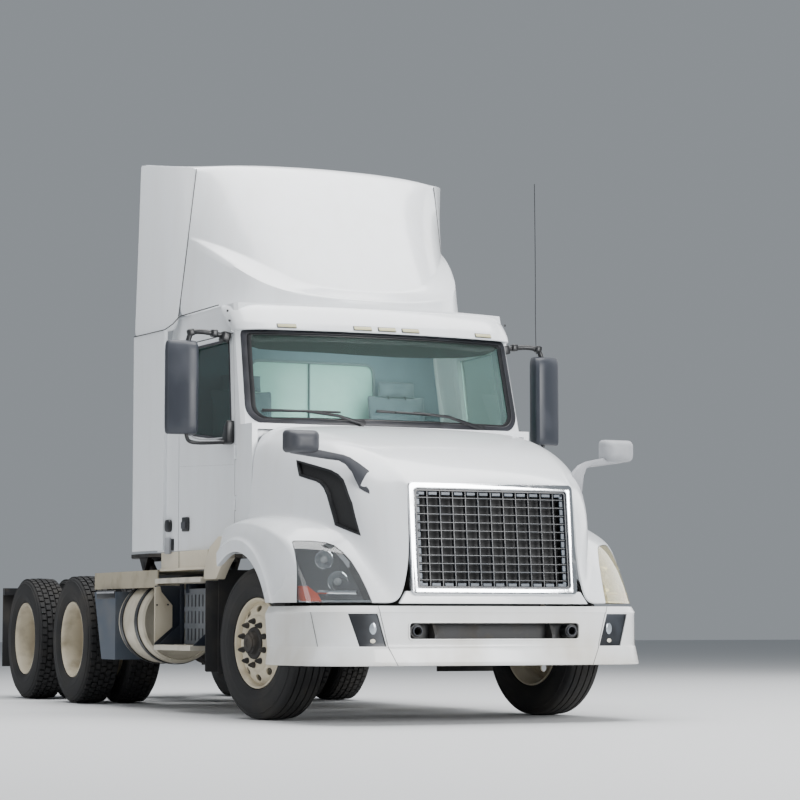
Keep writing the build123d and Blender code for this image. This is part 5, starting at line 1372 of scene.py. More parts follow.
wiperPlaces = {  # pivot, bend and clip of the arm, then the blade's two ends, across and height on the glass
    "right": {"pivot": (-.246, 2.002), "elbow": (-.42, 2.052), "clip": (-.665, 2.082),
              "blade": ((-.935, 2.083), (-.395, 2.079))},
    "left": {"pivot": (.700, 2.000), "elbow": (.42, 2.072), "clip": (.145, 2.092),
             "blade": ((-.130, 2.094), (.425, 2.078))},
}


def onScreen(y, z, lift):
    return (ahead(screenFace(y, z) + lift), y, z)


def sweptBar(name, points, halfWide, halfThick):
    # a flat bar along the glass: a ring at each point, wide in height and thin off the glass
    rings = []
    for index, (x, y, z) in enumerate(points):
        share = 1 - .35 * index / (len(points) - 1)
        section = ((-1, -1), (.4, -1), (1, 0), (.4, 1), (-1, 1))
        rings.append([(x + halfThick * a, y, z + halfWide * share * b) for a, b in section])
    return ringLoft(name, rings)


def buildWiper(name, place):
    pivot = place["pivot"]
    bpy.ops.mesh.primitive_cylinder_add(vertices=20, radius=.024, depth=.050, location=onScreen(*pivot, .010),
                                        rotation=(0, math.radians(74), 0))
    hub = nameActive(f"wiperHub_{name}")
    arm = sweptBar(f"wiperArm_{name}", [onScreen(*pivot, .036), onScreen(*place["elbow"], .044),
                                        onScreen(*place["clip"], .040)], .013, .006)
    first, second = place["blade"]
    steps = [tuple(Vector(first).lerp(Vector(second), share / 8)) for share in range(9)]
    holder = sweptBar(f"wiperHolder_{name}", [onScreen(y, z, .026) for y, z in steps], .011, .007)
    rubber = sweptBar(f"wiperRubber_{name}", [onScreen(y, z - .004, .010) for y, z in steps], .004, .009)
    hump = sweptBar(f"wiperHump_{name}", [onScreen(y, z, .038) for y, z in steps[2:7]], .008, .010)
    wiper = joinPieces(f"wiper_{name}", [hub, arm, holder, rubber, hump])
    finishPiece(wiper, "chassis", "blackTrim", ("wipers",), bevel=.0015)


for name, place in wiperPlaces.items():
    buildWiper(name, place)
print("wipers ready")

roofDeflector = {
    "seam": -1.683,
    "noses": ((2.85, -.70), (2.99, -.79), (3.115, -.87), (3.28, -1.0), (3.45, -1.125), (3.65, -1.29),
              (3.85, -1.465), (3.94, -1.555), (4.03, -1.645)),
    "fullness": 3.9,  # how square the plan is at its corners
    "columns": (
        # share of the half width, ridge height, top height, outer edge of the ledge, foot ahead and half
        (1.0, 3.450, 3.957, (-1.683, 1.018, 3.440), (-1.683, 1.090)),
        (.96, 3.425, 3.962, (-1.570, .995, 3.395), (-1.570, 1.068)),
        (.90, 3.380, 3.972, (-1.450, .968, 3.340), (-1.450, 1.036)),
        (.85, 3.345, 3.978, (-1.365, .946, 3.300), (-1.360, 1.006)),
        (.769, 3.280, 3.988, (-1.240, .908, 3.232), (-1.225, .955)),
        (.656, 3.190, 3.998, (-1.075, .852, 3.140), (-1.060, .875)),
        (.552, 3.115, 4.005, (-.930, .784, 3.055), (-.925, .790)),
        (.470, 3.062, 4.010, (-.820, .690, 2.990), (-.812, .690)),
        (.402, 3.030, 4.013, (-.722, .575, 2.945), (-.712, .568)),
        (.250, 3.000, 4.018, (-.632, .325, 2.912), (-.620, .318)),
        (.12, 2.992, 4.021, (-.606, .155, 2.903), (-.596, .150)),
        (0.0, 2.990, 4.022, (-.600, 0, 2.900), (-.590, 0)),
    ),
    "creases": (.3, 0, .45, 0, .55, 0, 0, 0, 0, .25, 0, 0, .3),
    "wall": .014, "foot": 2.851, "highest": 4.034,
    "aboveRidge": .045, "belowTop": .03, "faceParts": (0, .35, .7, .93),
    "tail": ((-1.78, 1.016, .25), (-1.95, 1.120, .6), (-2.13, 1.226, 1.0)),  # ahead, half width, share of the rise
    # height, front edge and its half width, rear edge and its half width
    "sideRows": ((2.757, -1.702, 1.115, -2.240, 1.235), (2.850, -1.687, 1.094, -2.232, 1.235),
                 (3.15, -1.687, 1.056, -2.206, 1.234), (3.55, -1.687, 1.009, -2.172, 1.233),
                 (3.940, -1.687, .962, -2.138, 1.232)),
    "sideParts": (0, .12, .3, .5, .7, .9, 1), "sideRise": .072,
}


def between(table, value):
    for (low, first), (high, second) in zip(table, table[1:]):
        if value <= high:
            break
    return first + (second - first) * min(max((value - low) / (high - low), 0), 1)


def deflectorHalf(z):
    return 1.090 - .119 * (z - 2.85)


def deflectorFace(share, z):
    nose = between(roofDeflector["noses"], z)
    return (nose - (nose - roofDeflector["seam"]) * share ** roofDeflector["fullness"],
            share * deflectorHalf(z), z)


def buildDeflector(values):
    columns = []
    for share, ridge, top, outer, foot in values["columns"]:
        ledge = deflectorFace(share, ridge)
        base = (*foot, values["foot"])
        halfway = [(base[i] + outer[i]) / 2 - (.004 if i == 0 else 0) for i in range(3)]
        onLedge = [outer[i] * .45 + ledge[i] * .55 - (.004 if i == 2 else 0) for i in range(3)]
        column = [base, tuple(halfway), outer, tuple(onLedge), ledge]
        low, high = ridge + values["aboveRidge"], top - values["belowTop"]
        column += [deflectorFace(share, low + (high - low) * part) for part in values["faceParts"]]
        edge = deflectorFace(share, top)
        column.append((edge[0] - .012, edge[1], top))
        for d, wide, rise in values["tail"]:
            column.append((d, share * wide, top + (values["highest"] - top) * rise))
        columns.append(column)
    rows = [list(row) for row in zip(*columns)]
    shell = shapeGrid("deflectorFace", rows, list(values["creases"]))
    mirrorWhole(shell)
    useModifier(shell, "SUBSURF", levels=2, render_levels=2)
    closeSkin(shell, (0, 0, 1), values["wall"])
    finishPiece(shell, "chassis", "shellPaint", ("roof_deflector",), smooth=40)
    for name, side in sides:
        rows = []
        for z, front, wide, rear, rearWide in values["sideRows"]:
            rows.append([(front + (rear - front) * t, side * (wide + (rearWide - wide) * (t ** .85)),
                          z + (values["sideRise"] * t if z > 3.9 else 0)) for t in values["sideParts"]])
        rows.append([(d, y, z + .017) for d, y, z in rows[-1]])
        panel = shapeGrid(f"deflectorSide_{name}", rows, [.4, 0, 0, 0, 0, .4])
        useModifier(panel, "SUBSURF", levels=2, render_levels=2)
        closeSkin(panel, (0, side, 0), values["wall"])
        finishPiece(panel, "chassis", "shellPaint", smooth=40)


buildDeflector(roofDeflector)
print("deflector ready")

bumperShape = {
    "plan": ((1.289, 0), (1.287, .2), (1.284, .4), (1.279, .6), (1.273, .75), (1.262, .85), (1.235, .95),
             (1.195, 1.028), (1.150, 1.076), (1.085, 1.124), (1.0, 1.164), (.90, 1.192), (.75, 1.212),
             (.60, 1.224), (.50, 1.231), (.43, 1.235)),
    # out from the plan, height, crease
    "rows": ((-.060, .736, 0.0), (-.024, .743, .6), (-.002, .704, .6), (-.007, .697, .35), (-.007, .590, 0.0),
             (-.007, .489, .35), (.000, .481, .6), (.022, .372, .7), (.012, .366, .3), (-.030, .372, 0.0)),
    "wall": .008,
    "slot": ((-.600, .533), (.600, .533), (.600, .638), (-.600, .638)),
    "fog": ((.811, .694), (.991, .694), (.925, .489), (.752, .489)),
    "slotRim": ((.009, .030), (-.003, .019)),  # how far the rim's two edges lie outside the slot, corner radius
    "fogLenses": (  # name, middle, half sizes, turn outwards, finish
        ("Bowl", (1.218, .872, .600), (.014, .066, .072), .42, "fogBowl"),
        ("Small", (1.236, .838, .523), (.010, .022, .017), .25, "clearBulb")),
    "seams": (
        ("bumperSeam", ((1.262, .812, .744), (1.2705, .800, .704), (1.263, .796, .694), (1.266, .744, .490),
                        (1.274, .742, .480), (1.298, .689, .370))),
        ("bumperSideSeam", ((1.012, 1.161, .702), (1.004, 1.156, .694), (1.056, 1.131, .489)))),
    "towEye": (1.272, .545, .585),
    "towRing": ((-.010, .026), (-.010, .033), (.006, .033), (.010, .030), (.010, .026)),
    "nose": 1.282, "bow": .0246,
    "rearLean": .16,
}


def bumperFace(y, z):
    # distance ahead of the bumper's middle
    return bumperShape["nose"] - bumperShape["bow"] * y * y


def bumperPoint(index, out, z):
    plan = bumperShape["plan"]
    before, after = Vector(plan[max(index - 1, 0)]), Vector(plan[min(index + 1, len(plan) - 1)])
    if index == 0:
        before = Vector((after.x, -after.y))
    along = (after - before).normalized()
    normal = Vector((along.y, -along.x))
    d, y = Vector(plan[index]) + normal * out
    if index >= len(plan) - 3:
        d += (.742 - z) * bumperShape["rearLean"]
    return d, y, z


def buildBumper(values):
    rows = []
    for out, z, _ in values["rows"]:
        count = len(values["plan"])
        rows.append([bumperPoint(i, 0.004 if out == -.007 and i >= count - 2 else out,
                                 z) for i in range(count)])
    skin = shapeGrid("bumperShell", rows, [row[2] for row in values["rows"]])
    mirrorWhole(skin)
    useModifier(skin, "SUBSURF", levels=2, render_levels=2)
    bare = copyPiece(skin, "bumperSkin")
    closeSkin(skin, (1, 0, 0), values["wall"])
    cutWith(skin, prism("slotCut", softOutline(values["slot"], .022), "X", ahead(1.1), ahead(1.4)))
    for _, side in sides:
        cutWith(skin, sidedPrism("fogCut", values["fog"], side, "X", *cutReach["bumper"]))
    finishPiece(skin, "chassis", "bumperPaint", ("bumper",), smooth=40)
    outer, inner = (loopPoints([(y + across * grow, z + up * grow) for (y, z), (across, up) in
                                zip(values["slot"], cornerTurns)], (radius,) * 4)
                    for grow, radius in values["slotRim"])
    rim = ringBand("slotRim", outer, inner, .022, bumperFace, lift=.0035)
    finishPiece(rim, "chassis", "bumperPaint", bevel=.003, segments=3)
    for name, side in sides:
        pan = copyPiece(bare, f"fogPan_{name}")
        closeSkin(pan, (1, 0, 0), .006)
        shiftMesh(pan, (-.012, 0, 0))
        cutWith(pan, sidedPrism("fogPanCut", values["fog"], side, "X", *cutReach["bumper"]), "INTERSECT")
        finishPiece(pan, "chassis", "grilleBlack", ("chassis_lamps",) if side > 0 else ())
        for kind, centre, size, turn, finish in values["fogLenses"]:
            bpy.ops.mesh.primitive_uv_sphere_add(segments=28, ring_count=14, radius=1, location=(0, 0, 0))
            lens = nameActive(f"fog{kind}_{name}")
            editAll()
            bpy.ops.transform.resize(value=size)
            bpy.ops.mesh.bisect(plane_co=(0, 0, 0), plane_no=(1, 0, 0), clear_inner=True, use_fill=True)
            pickAll()
            bpy.ops.transform.rotate(value=-side * turn, orient_axis="Z", center_override=(0, 0, 0))
            bpy.ops.transform.translate(value=(ahead(centre[0]), side * centre[1], centre[2]))
            leaveEdit()
            finishPiece(lens, "chassis", finish, smooth=60)
        for seam, points in values["seams"]:
            seamLine(f"{seam}_{name}", [(d, side * y, z) for d, y, z in points], "chassis")
    bpy.data.objects.remove(bare, do_unlink=True)
    for name, side in sides:
        d, y, z = values["towEye"]
        ring = spinLine(f"towRing_{name}", values["towRing"], 40)
        applyPlace(ring, Matrix.Translation((ahead(d), side * y, z)) @ Matrix.Rotation(math.radians(-90), 4, "Z"))
        finishPiece(ring, "chassis", "greyTrim", bevel=.002)


def seamLine(name, points, body, radius=.0016):
    # a dark joint between two panels, half sunk in them
    line = bentTube(name, [(ahead(d), y, z) for d, y, z in points], radius, 6, order=2)
    finishPiece(line, body, "jointShadow")


buildBumper(bumperShape)
print("bumper ready")

doorMirror = {
    # height, size of the outline there, how far its front stands back
    "levels": ((1.925, .86, .020), (1.930, .93, .010), (1.945, .975, .004), (1.980, 1.0, 0), (2.25, 1.0, 0),
               (2.500, 1.0, 0), (2.535, .985, .006), (2.556, .95, .018), (2.568, .90, .032),
               (2.572, .80, .045)),
    # plan from the inner rear corner round the front to the outer rear corner
    "plan": ((-.757, 1.303), (-.757, 1.300), (-.700, 1.298), (-.664, 1.304), (-.648, 1.325), (-.645, 1.360),
             (-.650, 1.386), (-.672, 1.440), (-.696, 1.496), (-.706, 1.511), (-.722, 1.518), (-.757, 1.517),
             (-.757, 1.514), (-.757, 1.408)),
    "middle": (-.705, 1.408), "rear": -.757, "deep": .112,
    "glass": ((1.312, 2.020), (1.506, 2.020), (1.506, 2.545), (1.312, 2.545)),
    "wide": ((1.312, 1.940), (1.506, 1.940), (1.506, 2.005), (1.312, 2.005)),
    "upper": ((-.700, 1.372, 2.545), (-.702, 1.362, 2.606), (-.728, 1.320, 2.640), (-.745, 1.20, 2.640),
              (-.742, 1.075, 2.616)),
    "lower": ((-.700, 1.382, 1.960), (-.700, 1.378, 1.895), (-.715, 1.340, 1.868), (-.690, 1.230, 1.866),
              (-.625, 1.120, 1.872)),
    "thin": ((-.745, 1.345, 1.960), (-.745, 1.330, 1.905), (-.720, 1.230, 1.890), (-.650, 1.110, 1.905)),
    # rubber covers over the arm's bends: ahead, half width, height, size
    "boots": ((-.742, 1.085, 2.612, (.085, .060, .070)), (-.742, 1.165, 2.634, (.060, .050, .052)),
              (-.712, 1.345, 2.628, (.058, .048, .050))),
    "bracket": ((-.566, 2.030), (-.566, 1.868), (-.600, 1.856), (-.660, 1.856), (-.668, 1.905), (-.630, 1.985)),
    "antenna": ((-.79, 1.372, 2.60), (-.79, 1.365, 2.75), (-.775, 1.36, 3.2), (-.770, 1.352, 3.86)),
}


def buildDoorMirror(name, side):
    body = f"door_{name}"
    rings = []
    for z, size, back in doorMirror["levels"]:
        ring = []
        for d, y in doorMirror["plan"]:
            middle = doorMirror["middle"]
            share = (d - doorMirror["rear"]) / doorMirror["deep"]
            ring.append((ahead(middle[0] + (d - middle[0]) * size - back * share),
                         side * (middle[1] + (y - middle[1]) * size), z))
        rings.append(ring)
    shell = ringLoft(f"mirrorShell_{name}", rings)
    finishPiece(shell, body, "mirrorShell", (f"mirror_{name}",), bevel=.003, segments=2, smooth=55)
    for kind, outline in (("Main", doorMirror["glass"]), ("Wide", doorMirror["wide"])):
        points = [(ahead(doorMirror["rear"]), side * y, z) for y, z in softOutline(outline, .018)]
        pane = drawPlate(f"mirror{kind}_{name}", points, (-.003, 0, 0))
        finishPiece(pane, body, "mirrorGlass", bevel=.001)
    arms = []
    for arm, radius in (("upper", .019), ("lower", .0135)):
        points = [(ahead(d), side * y, z) for d, y, z in doorMirror[arm]]
        arms.append(bentTube("mirrorArm", points, radius, 16))
    for index, (d, y, z, size) in enumerate(doorMirror["boots"]):
        bpy.ops.mesh.primitive_cube_add(size=1, location=(0, 0, 0))
        boot = nameActive("boot")
        editAll()
        bpy.ops.transform.resize(value=size)
        bpy.ops.transform.rotate(value=.25 * side * (index - 1), orient_axis="X", center_override=(0, 0, 0))
        bpy.ops.transform.translate(value=(ahead(d), side * y, z))
        bpy.ops.mesh.bevel(offset=.014, segments=3, affect="EDGES")
        leaveEdit()
        arms.append(boot)
    points = [(ahead(d), side * 1.078, z) for d, z in softOutline(doorMirror["bracket"], .012, 3)]
    arms.append(drawPlate("bracket", points, (0, side * .052, 0)))
    finishPiece(joinPieces(f"mirrorArms_{name}", arms), body, "blackTrim", bevel=.003,
                segments=2, smooth=50)
    thin = bentTube(f"mirrorStay_{name}", [(ahead(d), side * y, z) for d, y, z in doorMirror["thin"]], .006, 10)
    finishPiece(thin, body, "paleGreyFadedAndLit")


for name, side in sides:
    buildDoorMirror(name, side)
antenna = bentTube("antenna", [(ahead(d), y, z) for d, y, z in doorMirror["antenna"]], .003, 8)
finishPiece(antenna, "door_left", "blackTrim")
print("door mirrors ready")

# the cab's sides: half widths, leans and places of the face that seams and seals lie on
cabSides = {"back": 1.180, "front": 1.073, "frontAt": -.550, "slope": .0823, "backLean": .139,
            "frontLean": .0388, "belt": 1.986, "corner": -.474, "rake": .2776, "rear": -1.850}


def cabSide(d, z):
    # half width of the cab's outer face
    values = cabSides
    rise = z - values["belt"]
    if rise <= 0:
        return values["front"] + (values["frontAt"] - d) * values["slope"]
    corner = values["corner"] - values["rake"] * rise
    front = values["front"] + (values["frontAt"] - values["corner"]) * values["slope"] - values["frontLean"] * rise
    back = values["back"] - values["backLean"] * rise
    return front + (back - front) * (corner - d) / (corner - values["rear"])


doorDetail = {
    "gap": ((-.562, 1.308), (-.562, 1.987), (-.688, 2.636), (-1.486, 2.636), (-1.486, 1.141), (-.858, 1.141)),
    "window": ((-.597, 1.880), (-.757, 2.594), (-1.404, 2.594), (-1.404, 1.980)),
    "pads": {  # outline, finish, slot, how far it stands out, corner radius, edge radius
        "handleRecess": (((-1.472, 1.386), (-1.290, 1.382), (-1.290, 1.279), (-1.472, 1.283)),
                         "blackTrim", "black_trim", .004, .018, .003),
        "handlePaddle": (((-1.430, 1.352), (-1.340, 1.350), (-1.340, 1.300), (-1.430, 1.302)),
                         "greyTrim", "grey_trim", .012, .008, .003),
        "doorLatch": (((-1.695, 1.377), (-1.590, 1.374), (-1.590, 1.284), (-1.695, 1.287)),
                      "blackTrim", "black_trim", .022, .030, .008),
        "grabPlate": (((-1.697, 1.246), (-1.602, 1.243), (-1.602, 1.128), (-1.697, 1.128)),
                      "paleGreyFadedAndLit", "grey_trim", .018, .008, .004),
        "grabShade": (((-1.596, 1.236), (-1.560, 1.235), (-1.560, 1.150), (-1.596, 1.150)),
                      "blackTrim", "black_trim", .010, .006, .003),
    },
    "seams": {  # radius, then ahead, half width and height of its points
        "roofSeal": (.0038, ((-.90, 1.074, 2.853), (-1.30, 1.084, 2.853), (-1.66, 1.092, 2.853),
                             (-1.694, 1.130, 2.800), (-1.700, 1.190, 2.756))),
        "extenderSeal": (.0036, ((-1.703, 1.193, 2.755), (-2.250, 1.238, 2.755))),
    },
    "crease": ((-1.470, 1.748), (-.575, 1.716)),
}


def sideRun(outline, side, sunk, longest=.12):
    # an outline on the cab's side, as points that follow its face
    points = splitOutline(list(outline), longest)
    return [(d, side * (cabSide(d, z) - sunk), z) for d, z in points + points[:1]]


def buildDoorDetail(name, side):
    door = f"door_{name}"
    seamLine(f"doorGap_{name}", sideRun(softOutline(doorDetail["gap"], .045), side, .006), "chassis", .0034)
    points = sideRun(softOutline(doorDetail["window"], .035), side, .003)
    seal = bentTube(f"windowSeal_{name}", [(ahead(d), y, z) for d, y, z in points], .010, 8, order=2)
    finishPiece(seal, door, "sealRubber", smooth=60)
    for pad, values in doorDetail["pads"].items():
        outline, finish, slot, proud, corner, bevel = values
        face = cabSide(sum(d for d, _ in outline) / len(outline), sum(z for _, z in outline) / len(outline))
        piece = sidedPrism(f"{pad}_{name}", softOutline(outline, corner), side, "Y", face - .004, face + proud)
        finishPiece(piece, door if pad.startswith("handle") else "chassis", finish, bevel=bevel)
    # the belt crease is drawn as a thin dark line: painted shade along the crease
    crease = [(d, side * (cabSide(d, z) - .0009), z) for d, z in doorDetail["crease"]]
    seamLine(f"doorCreaseShadeLine_{name}", crease, door, .0011)
    for seam, values in doorDetail["seams"].items():
        seamLine(f"{seam}_{name}", [(d, side * y, z) for d, y, z in values[1]], "chassis", values[0])
    seamLine(f"deflectorSeam_{name}",
             [(-1.683, side * (deflectorHalf(z) + .001), z) for z in (2.856, 3.2, 3.6, 3.95)],
             "chassis", .0030)


def buildPlates(name, side, plates):
    # flat plates on one side of the vehicle; a piece that takes a node's place is on the left
    for plate, (outline, corner, axis, start, end, slot, finish, bevel, hides) in plates.items():
        if corner:
            outline = softOutline(outline, corner, 3)
        if axis == "X":
            start, end = ahead(start), ahead(end)
        piece = sidedPrism(f"{plate}_{name}", outline, side, axis, start, end)
        finishPiece(piece, "chassis", finish, hides if side > 0 else (), bevel=bevel)


skirt = {
    "joint": ((-1.439, 1.010), (-1.439, 1.140)), "jointHalf": 1.1605,
    "plates": {  # outline, corner radius, axis seen along, start and end on it, slot, finish, bevel, hidden nodes
        # the white skirt panels take the beige finish: road dust and painted shade under the door
        "archFiller": (((-.600, 1.224), (-.765, 1.157), (-.861, 1.052), (-.887, .935), (-.642, .933),
                        (-.604, .968), (-.565, 1.0), (-.510, 1.038), (-.456, 1.070), (-.456, 1.224)),
                       0, "Y", 1.108, 1.179, "white_panel", "beigeDustAndShade", .006, ("skirts",)),
        "skirtPanel": (((-1.828, 1.142), (-1.828, 1.008), (-.900, 1.008), (-.850, 1.142)),
                       0, "Y", 1.056, 1.160, "white_panel", "beigeDustAndShade", .006, ()),
        "splashFlap": (squareOutline(.935, .300, 1.192, .925), .012, "X", -.808, -.800,
                       "rubber_flap", "flapRubber", .002, ()),
        "cowlCorner": (squareOutline(.840, 1.800, 1.030, 1.944), 0, "X", -.345, -.333,
                       "white_panel", "steelPaint", .002, ()),
        "skirtLip": (squareOutline(-1.828, 1.006, -.900, 1.026), 0, "Y", 1.150, 1.170,
                     "white_panel", "beigeDustAndShade", .004, ()),
    },
}


def buildSkirts(name, side):
    buildPlates(name, side, skirt["plates"])
    seamLine(f"skirtJoint_{name}", [(d, side * skirt["jointHalf"], z) for d, z in skirt["joint"]], "chassis",
             .0026)


steps = {
    # rear, underside, front, top, inner edge
    "treads": ((-1.860, .918, -.907, .950, .930), (-1.880, .440, -1.110, .474, .985)), "outer": 1.194,
    "ribs": (1.190, 1.165, 1.140, 1.050, 1.010, .970), "ribInset": .02, "ribHigh": (-.002, .004),
    "hangers": (  # outline, axis seen along, start and end on it
        (squareOutline(-1.870, .442, -1.854, .930), "Y", .970, 1.0),
        (((1.188, .456), (.982, .456), (.982, .640)), "X", ahead(-1.870), ahead(-1.856)),
        (squareOutline(-1.130, .442, -1.114, .930), "Y", .970, 1.0),
        (((1.188, .456), (.982, .456), (.982, .640)), "X", ahead(-1.130), ahead(-1.116)),
        (squareOutline(-1.190, .850, -1.130, .918), "Y", .426, .975),
        (squareOutline(-1.810, .850, -1.750, .918), "Y", .426, .975),
        (squareOutline(.975, .460, 1.186, .905), "X", ahead(-1.892), ahead(-1.884))),
    "plates": {
        "stepEndPlate": (((1.150, .899), (1.140, .858), (1.056, .762), (1.055, .604), (1.192, .490), (1.192, .893)),
                         0, "X", -1.880, -1.866, "tank_skin", "beigeDustAndShade", .003, ()),
    },
    "bolts": ((1.176, .764), (1.092, .767)), "boltsAt": -1.863,
    "slotPanel": squareOutline(-1.985, .483, -1.330, .880),
    "slotRows": (.551, .675, .795), "slots": 8, "firstSlot": -1.925, "slotPitch": .0765,
    "slotHalf": (.013, .045),
}


def buildSteps(name, side):
    pieces = []
    for rear, under, front, top, inner in steps["treads"]:
        pieces.append(sidedPrism("tread", squareOutline(rear, under, front, top), side, "Y", inner,
                                 steps["outer"]))
        low, high = (top + rise for rise in steps["ribHigh"])
        rib = squareOutline(rear + steps["ribInset"], low, front - steps["ribInset"], high)
        for across in steps["ribs"]:
            if across - .012 > inner:
                pieces.append(sidedPrism("rib", rib, side, "Y", across - .010, across - .002))
    finishPiece(joinPieces(f"stepTreads_{name}", pieces), "chassis", "stepMetal",
                ("steps",) if side > 0 else (), bevel=.0022, segments=1)
    hangers = [sidedPrism("hanger", outline, side, axis, start, end)
               for outline, axis, start, end in steps["hangers"]]
    # near-black blue hanger finish: painted shade behind the steps
    finishPiece(joinPieces(f"stepHangers_{name}", hangers), "chassis", "hangerPaintAndShade", bevel=.003)
    buildPlates(name, side, steps["plates"])
    bolts = []
    for y, z in steps["bolts"]:
        bpy.ops.mesh.primitive_cylinder_add(vertices=18, radius=.007, depth=.006,
                                            rotation=(0, math.radians(90), 0),
                                            location=(ahead(steps["boltsAt"]), side * y, z))
        bolts.append(nameActive("bolt"))
    finishPiece(joinPieces(f"stepBolts_{name}", bolts), "chassis", "blackTrim", bevel=.001)


def buildSlotPanel(side):
    # seen behind the right side's steps only
    panel = sidedPrism("slotPanel", softOutline(steps["slotPanel"], .012), side, "Y", .962, .968)
    wide, high = steps["slotHalf"]
    cutters = []
    for z in steps["slotRows"]:
        for index in range(steps["slots"]):
            d = steps["firstSlot"] + index * steps["slotPitch"]
            outline = softOutline(squareOutline(d - wide, z - high, d + wide, z + high), .010, 3)
            cutters.append(sidedPrism("slotCutter", outline, side, "Y", .95, .98))
    cutWith(panel, joinPieces("slotCutters", cutters))
    finishPiece(panel, "chassis", "slotPanelGrey")


boxHandle = {
    "boxRecess": (squareOutline(-3.235, .818, -2.790, .880), .010, "Y", 1.184, 1.194,
                  "box_paint", "blackTrim", .003, ()),
    "boxBar": (squareOutline(-3.225, .858, -2.800, .872), .004, "Y", 1.19, 1.198,
               "box_paint", "paleGreyFadedAndLit", .002, ()),
}

fuelTank = {
    "front": -2.150, "rear": -2.730, "y": .885, "z": .645, "radius": .312, "waist": .0015,
    # in from the end and in from the radius, from the rear's middle outwards and to the front's middle
    "rearEnd": ((0, .312), (0, .070), (.006, .040), (.030, .009), (.046, .003)),
    "frontEnd": ((.046, .003), (.030, .009), (.014, .012), (.006, .030), (.022, .036), (.028, .080),
                 (.020, .312)),
    "cap": ((0, 0), (0, .052), (.022, .052), (.028, .046), (.028, .012), (.044, .010), (.044, 0)),
    "capAt": (-2.22, .150, .908), "capTilt": 62,
}


def buildTank(name, side):
    front, rear, r = fuelTank["front"], fuelTank["rear"], fuelTank["radius"]
    half = (front - rear) / 2
    profile = [(inset - half, r - drop) for inset, drop in fuelTank["rearEnd"]] + [(0, r - fuelTank["waist"])]
    profile += [(half - inset, r - drop) for inset, drop in fuelTank["frontEnd"]]
    tank = spinLine(f"tankShell_{name}", profile, 96, closed=False)
    middle = Matrix.Translation((ahead((front + rear) / 2), side * fuelTank["y"], fuelTank["z"]))
    applyPlace(tank, middle @ Matrix.Rotation(math.radians(-90), 4, "Z"))
    finishPiece(tank, "chassis", "tankSkin", ("fuel_tanks",) if side > 0 else (), smooth=40)
    cap = spinLine(f"tankCap_{name}", fuelTank["cap"], 32, closed=False)
    d, out, z = fuelTank["capAt"]
    foot = Matrix.Translation((ahead(d), side * (fuelTank["y"] + out), z))
    applyPlace(cap, foot @ Matrix.Rotation(math.radians(fuelTank["capTilt"] * side), 4, "X"))
    finishPiece(cap, "chassis", "stepMetal", bevel=.002)


tailLamp = {"places": (-.290, -.180, .180, .290), "height": .900, "radius": .050, "ahead": -5.779}


def buildTailLamps(values):
    r = values["radius"]
    ring = ((0, r - .012), (0, r), (-.006, r), (-.009, r - .006), (-.009, r - .012))
    lens = ((0, 0), (0, r - .012), (-.005, r - .012), (-.009, r - .018), (-.0115, r - .030), (-.0125, 0))
    for index, y in enumerate(values["places"]):
        place = Matrix.Translation((ahead(values["ahead"]), y, values["height"]))
        for part, profile, finish, slot in (("Ring", ring, "blackTrim", "black_trim"),
                                            ("Lens", lens, "redLens", "lamp_glass")):
            lamp = spinLine(f"tail{part}_{index + 1}", profile, 40, closed=part == "Ring")
            applyPlace(lamp, place @ Matrix.Rotation(math.radians(-90), 4, "Z"))
            finishPiece(lamp, "chassis", finish, smooth=50)


cabLining = {
    "board": ((-1.085, 1.210), (1.085, 1.210), (1.079575, 1.98), (.985, 2.775), (-.985, 2.775),
              (-1.079575, 1.98)),
    "back": -1.788, "front": -1.776,
    # tint: depth of the opaque pale pane in the rear window, painted daylight
    "window": ((.500, 1.985), (.500, 2.570), (-.500, 2.570), (-.500, 1.985)), "windowCorner": .07,
    "sealAt": -1.774, "tint": (-1.792, -1.7895),
    "strip": squareOutline(-.030, 1.99, -.018, 2.565), "stripDeep": (-1.785, -1.772),
    "head": ((-.960, 2.770), (.960, 2.770), (.955, 2.784), (-.955, 2.784)), "headDeep": (-1.77, -.80),
}


def buildLining(values):
    window = softOutline(values["window"], values["windowCorner"])
    board = prism("backLining", values["board"], "X", ahead(values["back"]), ahead(values["front"]))
    cutWith(board, prism("windowCut", window, "X", ahead(-1.80), ahead(-1.76)))
    finishPiece(board, "chassis", "liningBlue", bevel=.003)
    seal = bentTube("backWindowSeal", [(ahead(values["sealAt"]), y, z) for y, z in window + window[:1]], .011,
                    8, order=2)
    finishPiece(seal, "chassis", "liningGrey", smooth=60)
    for name, outline, deep, slot, finish, bevel in (
            # opaque pale pane: painted daylight through the rear window
            ("backWindowPaintedDaylight", window, values["tint"], "glass_pane", "rearGlassPaintedDaylight", .0008),
            ("liningStrip", values["strip"], values["stripDeep"], "grey_trim", "liningGrey", .002),
            ("headLining", values["head"], values["headDeep"], "dash_plastic", "liningGrey", .004)):
        panel = prism(name, outline, "X", ahead(deep[0]), ahead(deep[1]))
        finishPiece(panel, "chassis", finish, bevel=bevel)


seat = {
    "middle": .620,
    "base": ((-1.550, -1.190, .185, 1.208, .05), (-1.500, -1.240, .150, 1.25, .27)),  # foot, post
    "restPosts": ((-1.60, 2.26), (-1.625, 2.36)), "postHalf": .07,
    # name, centre ahead, height, length, width, thickness, lean in degrees, crown
    "parts": (("seatCushion", -1.385, 1.575, .490, .490, .125, 0, .35),
              ("seatBack", -1.590, 1.985, .690, .470, .105, 97, .30),
              ("headRest", -1.630, 2.378, .120, .300, .085, 96, .45)),
    "pull": .045, "edgeFall": .45, "thinnest": .3, "sideRound": .05,  # shares of the cushion's own size
    "sewnAt": (-.34, .34), "sewnWide": .045, "sewnDeep": .10, "longestUnsewn": .2,
}


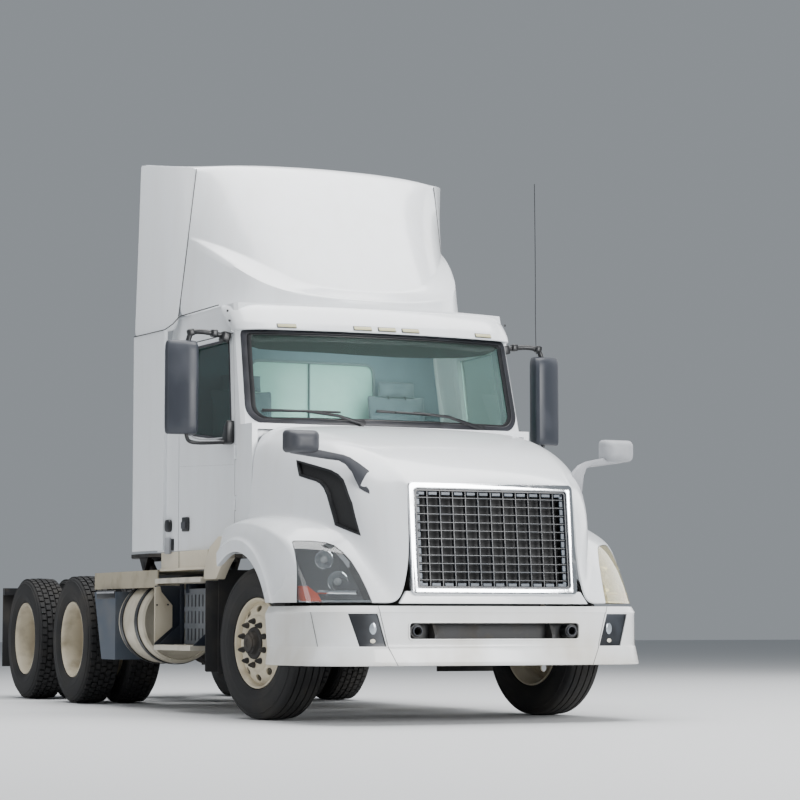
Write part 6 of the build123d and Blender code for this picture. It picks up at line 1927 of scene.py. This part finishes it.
def buildCushion(name, place, long, wide, thick, lean, crown):
    # a stuffed form: crowned both ways, drawn in between its corners, two sewn channels across it
    bpy.ops.mesh.primitive_cube_add(size=1, location=(0, 0, 0))
    cushion = nameActive(name)
    editAll()
    bpy.ops.mesh.subdivide(number_cuts=15)
    leaveEdit()
    for vertex in cushion.data.vertices:
        u, v, w = (2 * value for value in vertex.co)
        edge = max(1 - seat["edgeFall"] * (abs(u) ** 6 + abs(v) ** 6), seat["thinnest"])
        fall = 1 - crown * (u * u + v * v) / 2
        sewn = 0
        if long > seat["longestUnsewn"]:
            sewn = sum(math.exp(-((u - spot) / seat["sewnWide"]) ** 2) for spot in seat["sewnAt"])
        rounded = 1 - seat["sideRound"] * w * w
        vertex.co = (long / 2 * u * (1 - seat["pull"] * (1 - v * v)) * rounded,
                     wide / 2 * v * (1 - seat["pull"] * (1 - u * u)) * rounded,
                     thick / 2 * w * (fall * edge - sewn * seat["sewnDeep"] * (1 - v ** 8)))
    useModifier(cushion, "SUBSURF", levels=1, render_levels=1)
    applyPlace(cushion, Matrix.Translation(place) @ Matrix.Rotation(math.radians(-lean), 4, "Y"))
    return cushion


def buildSeats(values):
    for name, side in sides:
        y = side * values["middle"]
        base = []
        for rear, front, half, low, rise in values["base"]:
            corners = squareOutline(rear, -half, front, half)
            base.append(drawPlate("seatBlock", [(ahead(d), y + across, low) for d, across in corners],
                                  (0, 0, rise)))
        for rail in (-values["postHalf"], values["postHalf"]):
            points = [(ahead(d), y + rail, z) for d, z in values["restPosts"]]
            base.append(bentTube("restPost", points, .007, 8, order=2))
        finishPiece(joinPieces(f"seatBase_{name}", base), "chassis", "blackTrim",
                    ("seats",) if side > 0 else (), bevel=.012)
        for part, d, z, long, wide, thick, lean, crown in values["parts"]:
            cushion = buildCushion(f"{part}_{name}", (ahead(d), y, z), long, wide, thick, lean, crown)
            finishPiece(cushion, "chassis", "seatCloth", smooth=80)


for name, side in sides:
    buildDoorDetail(name, side)
    buildSkirts(name, side)
    buildSteps(name, side)
    buildTank(name, side)
    buildPlates(name, side, boxHandle)
buildSlotPanel(-1)
print("doors, skirts, steps and tanks ready")
buildTailLamps(tailLamp)
buildLining(cabLining)
buildSeats(seat)
print("tail lamps and cab interior ready")
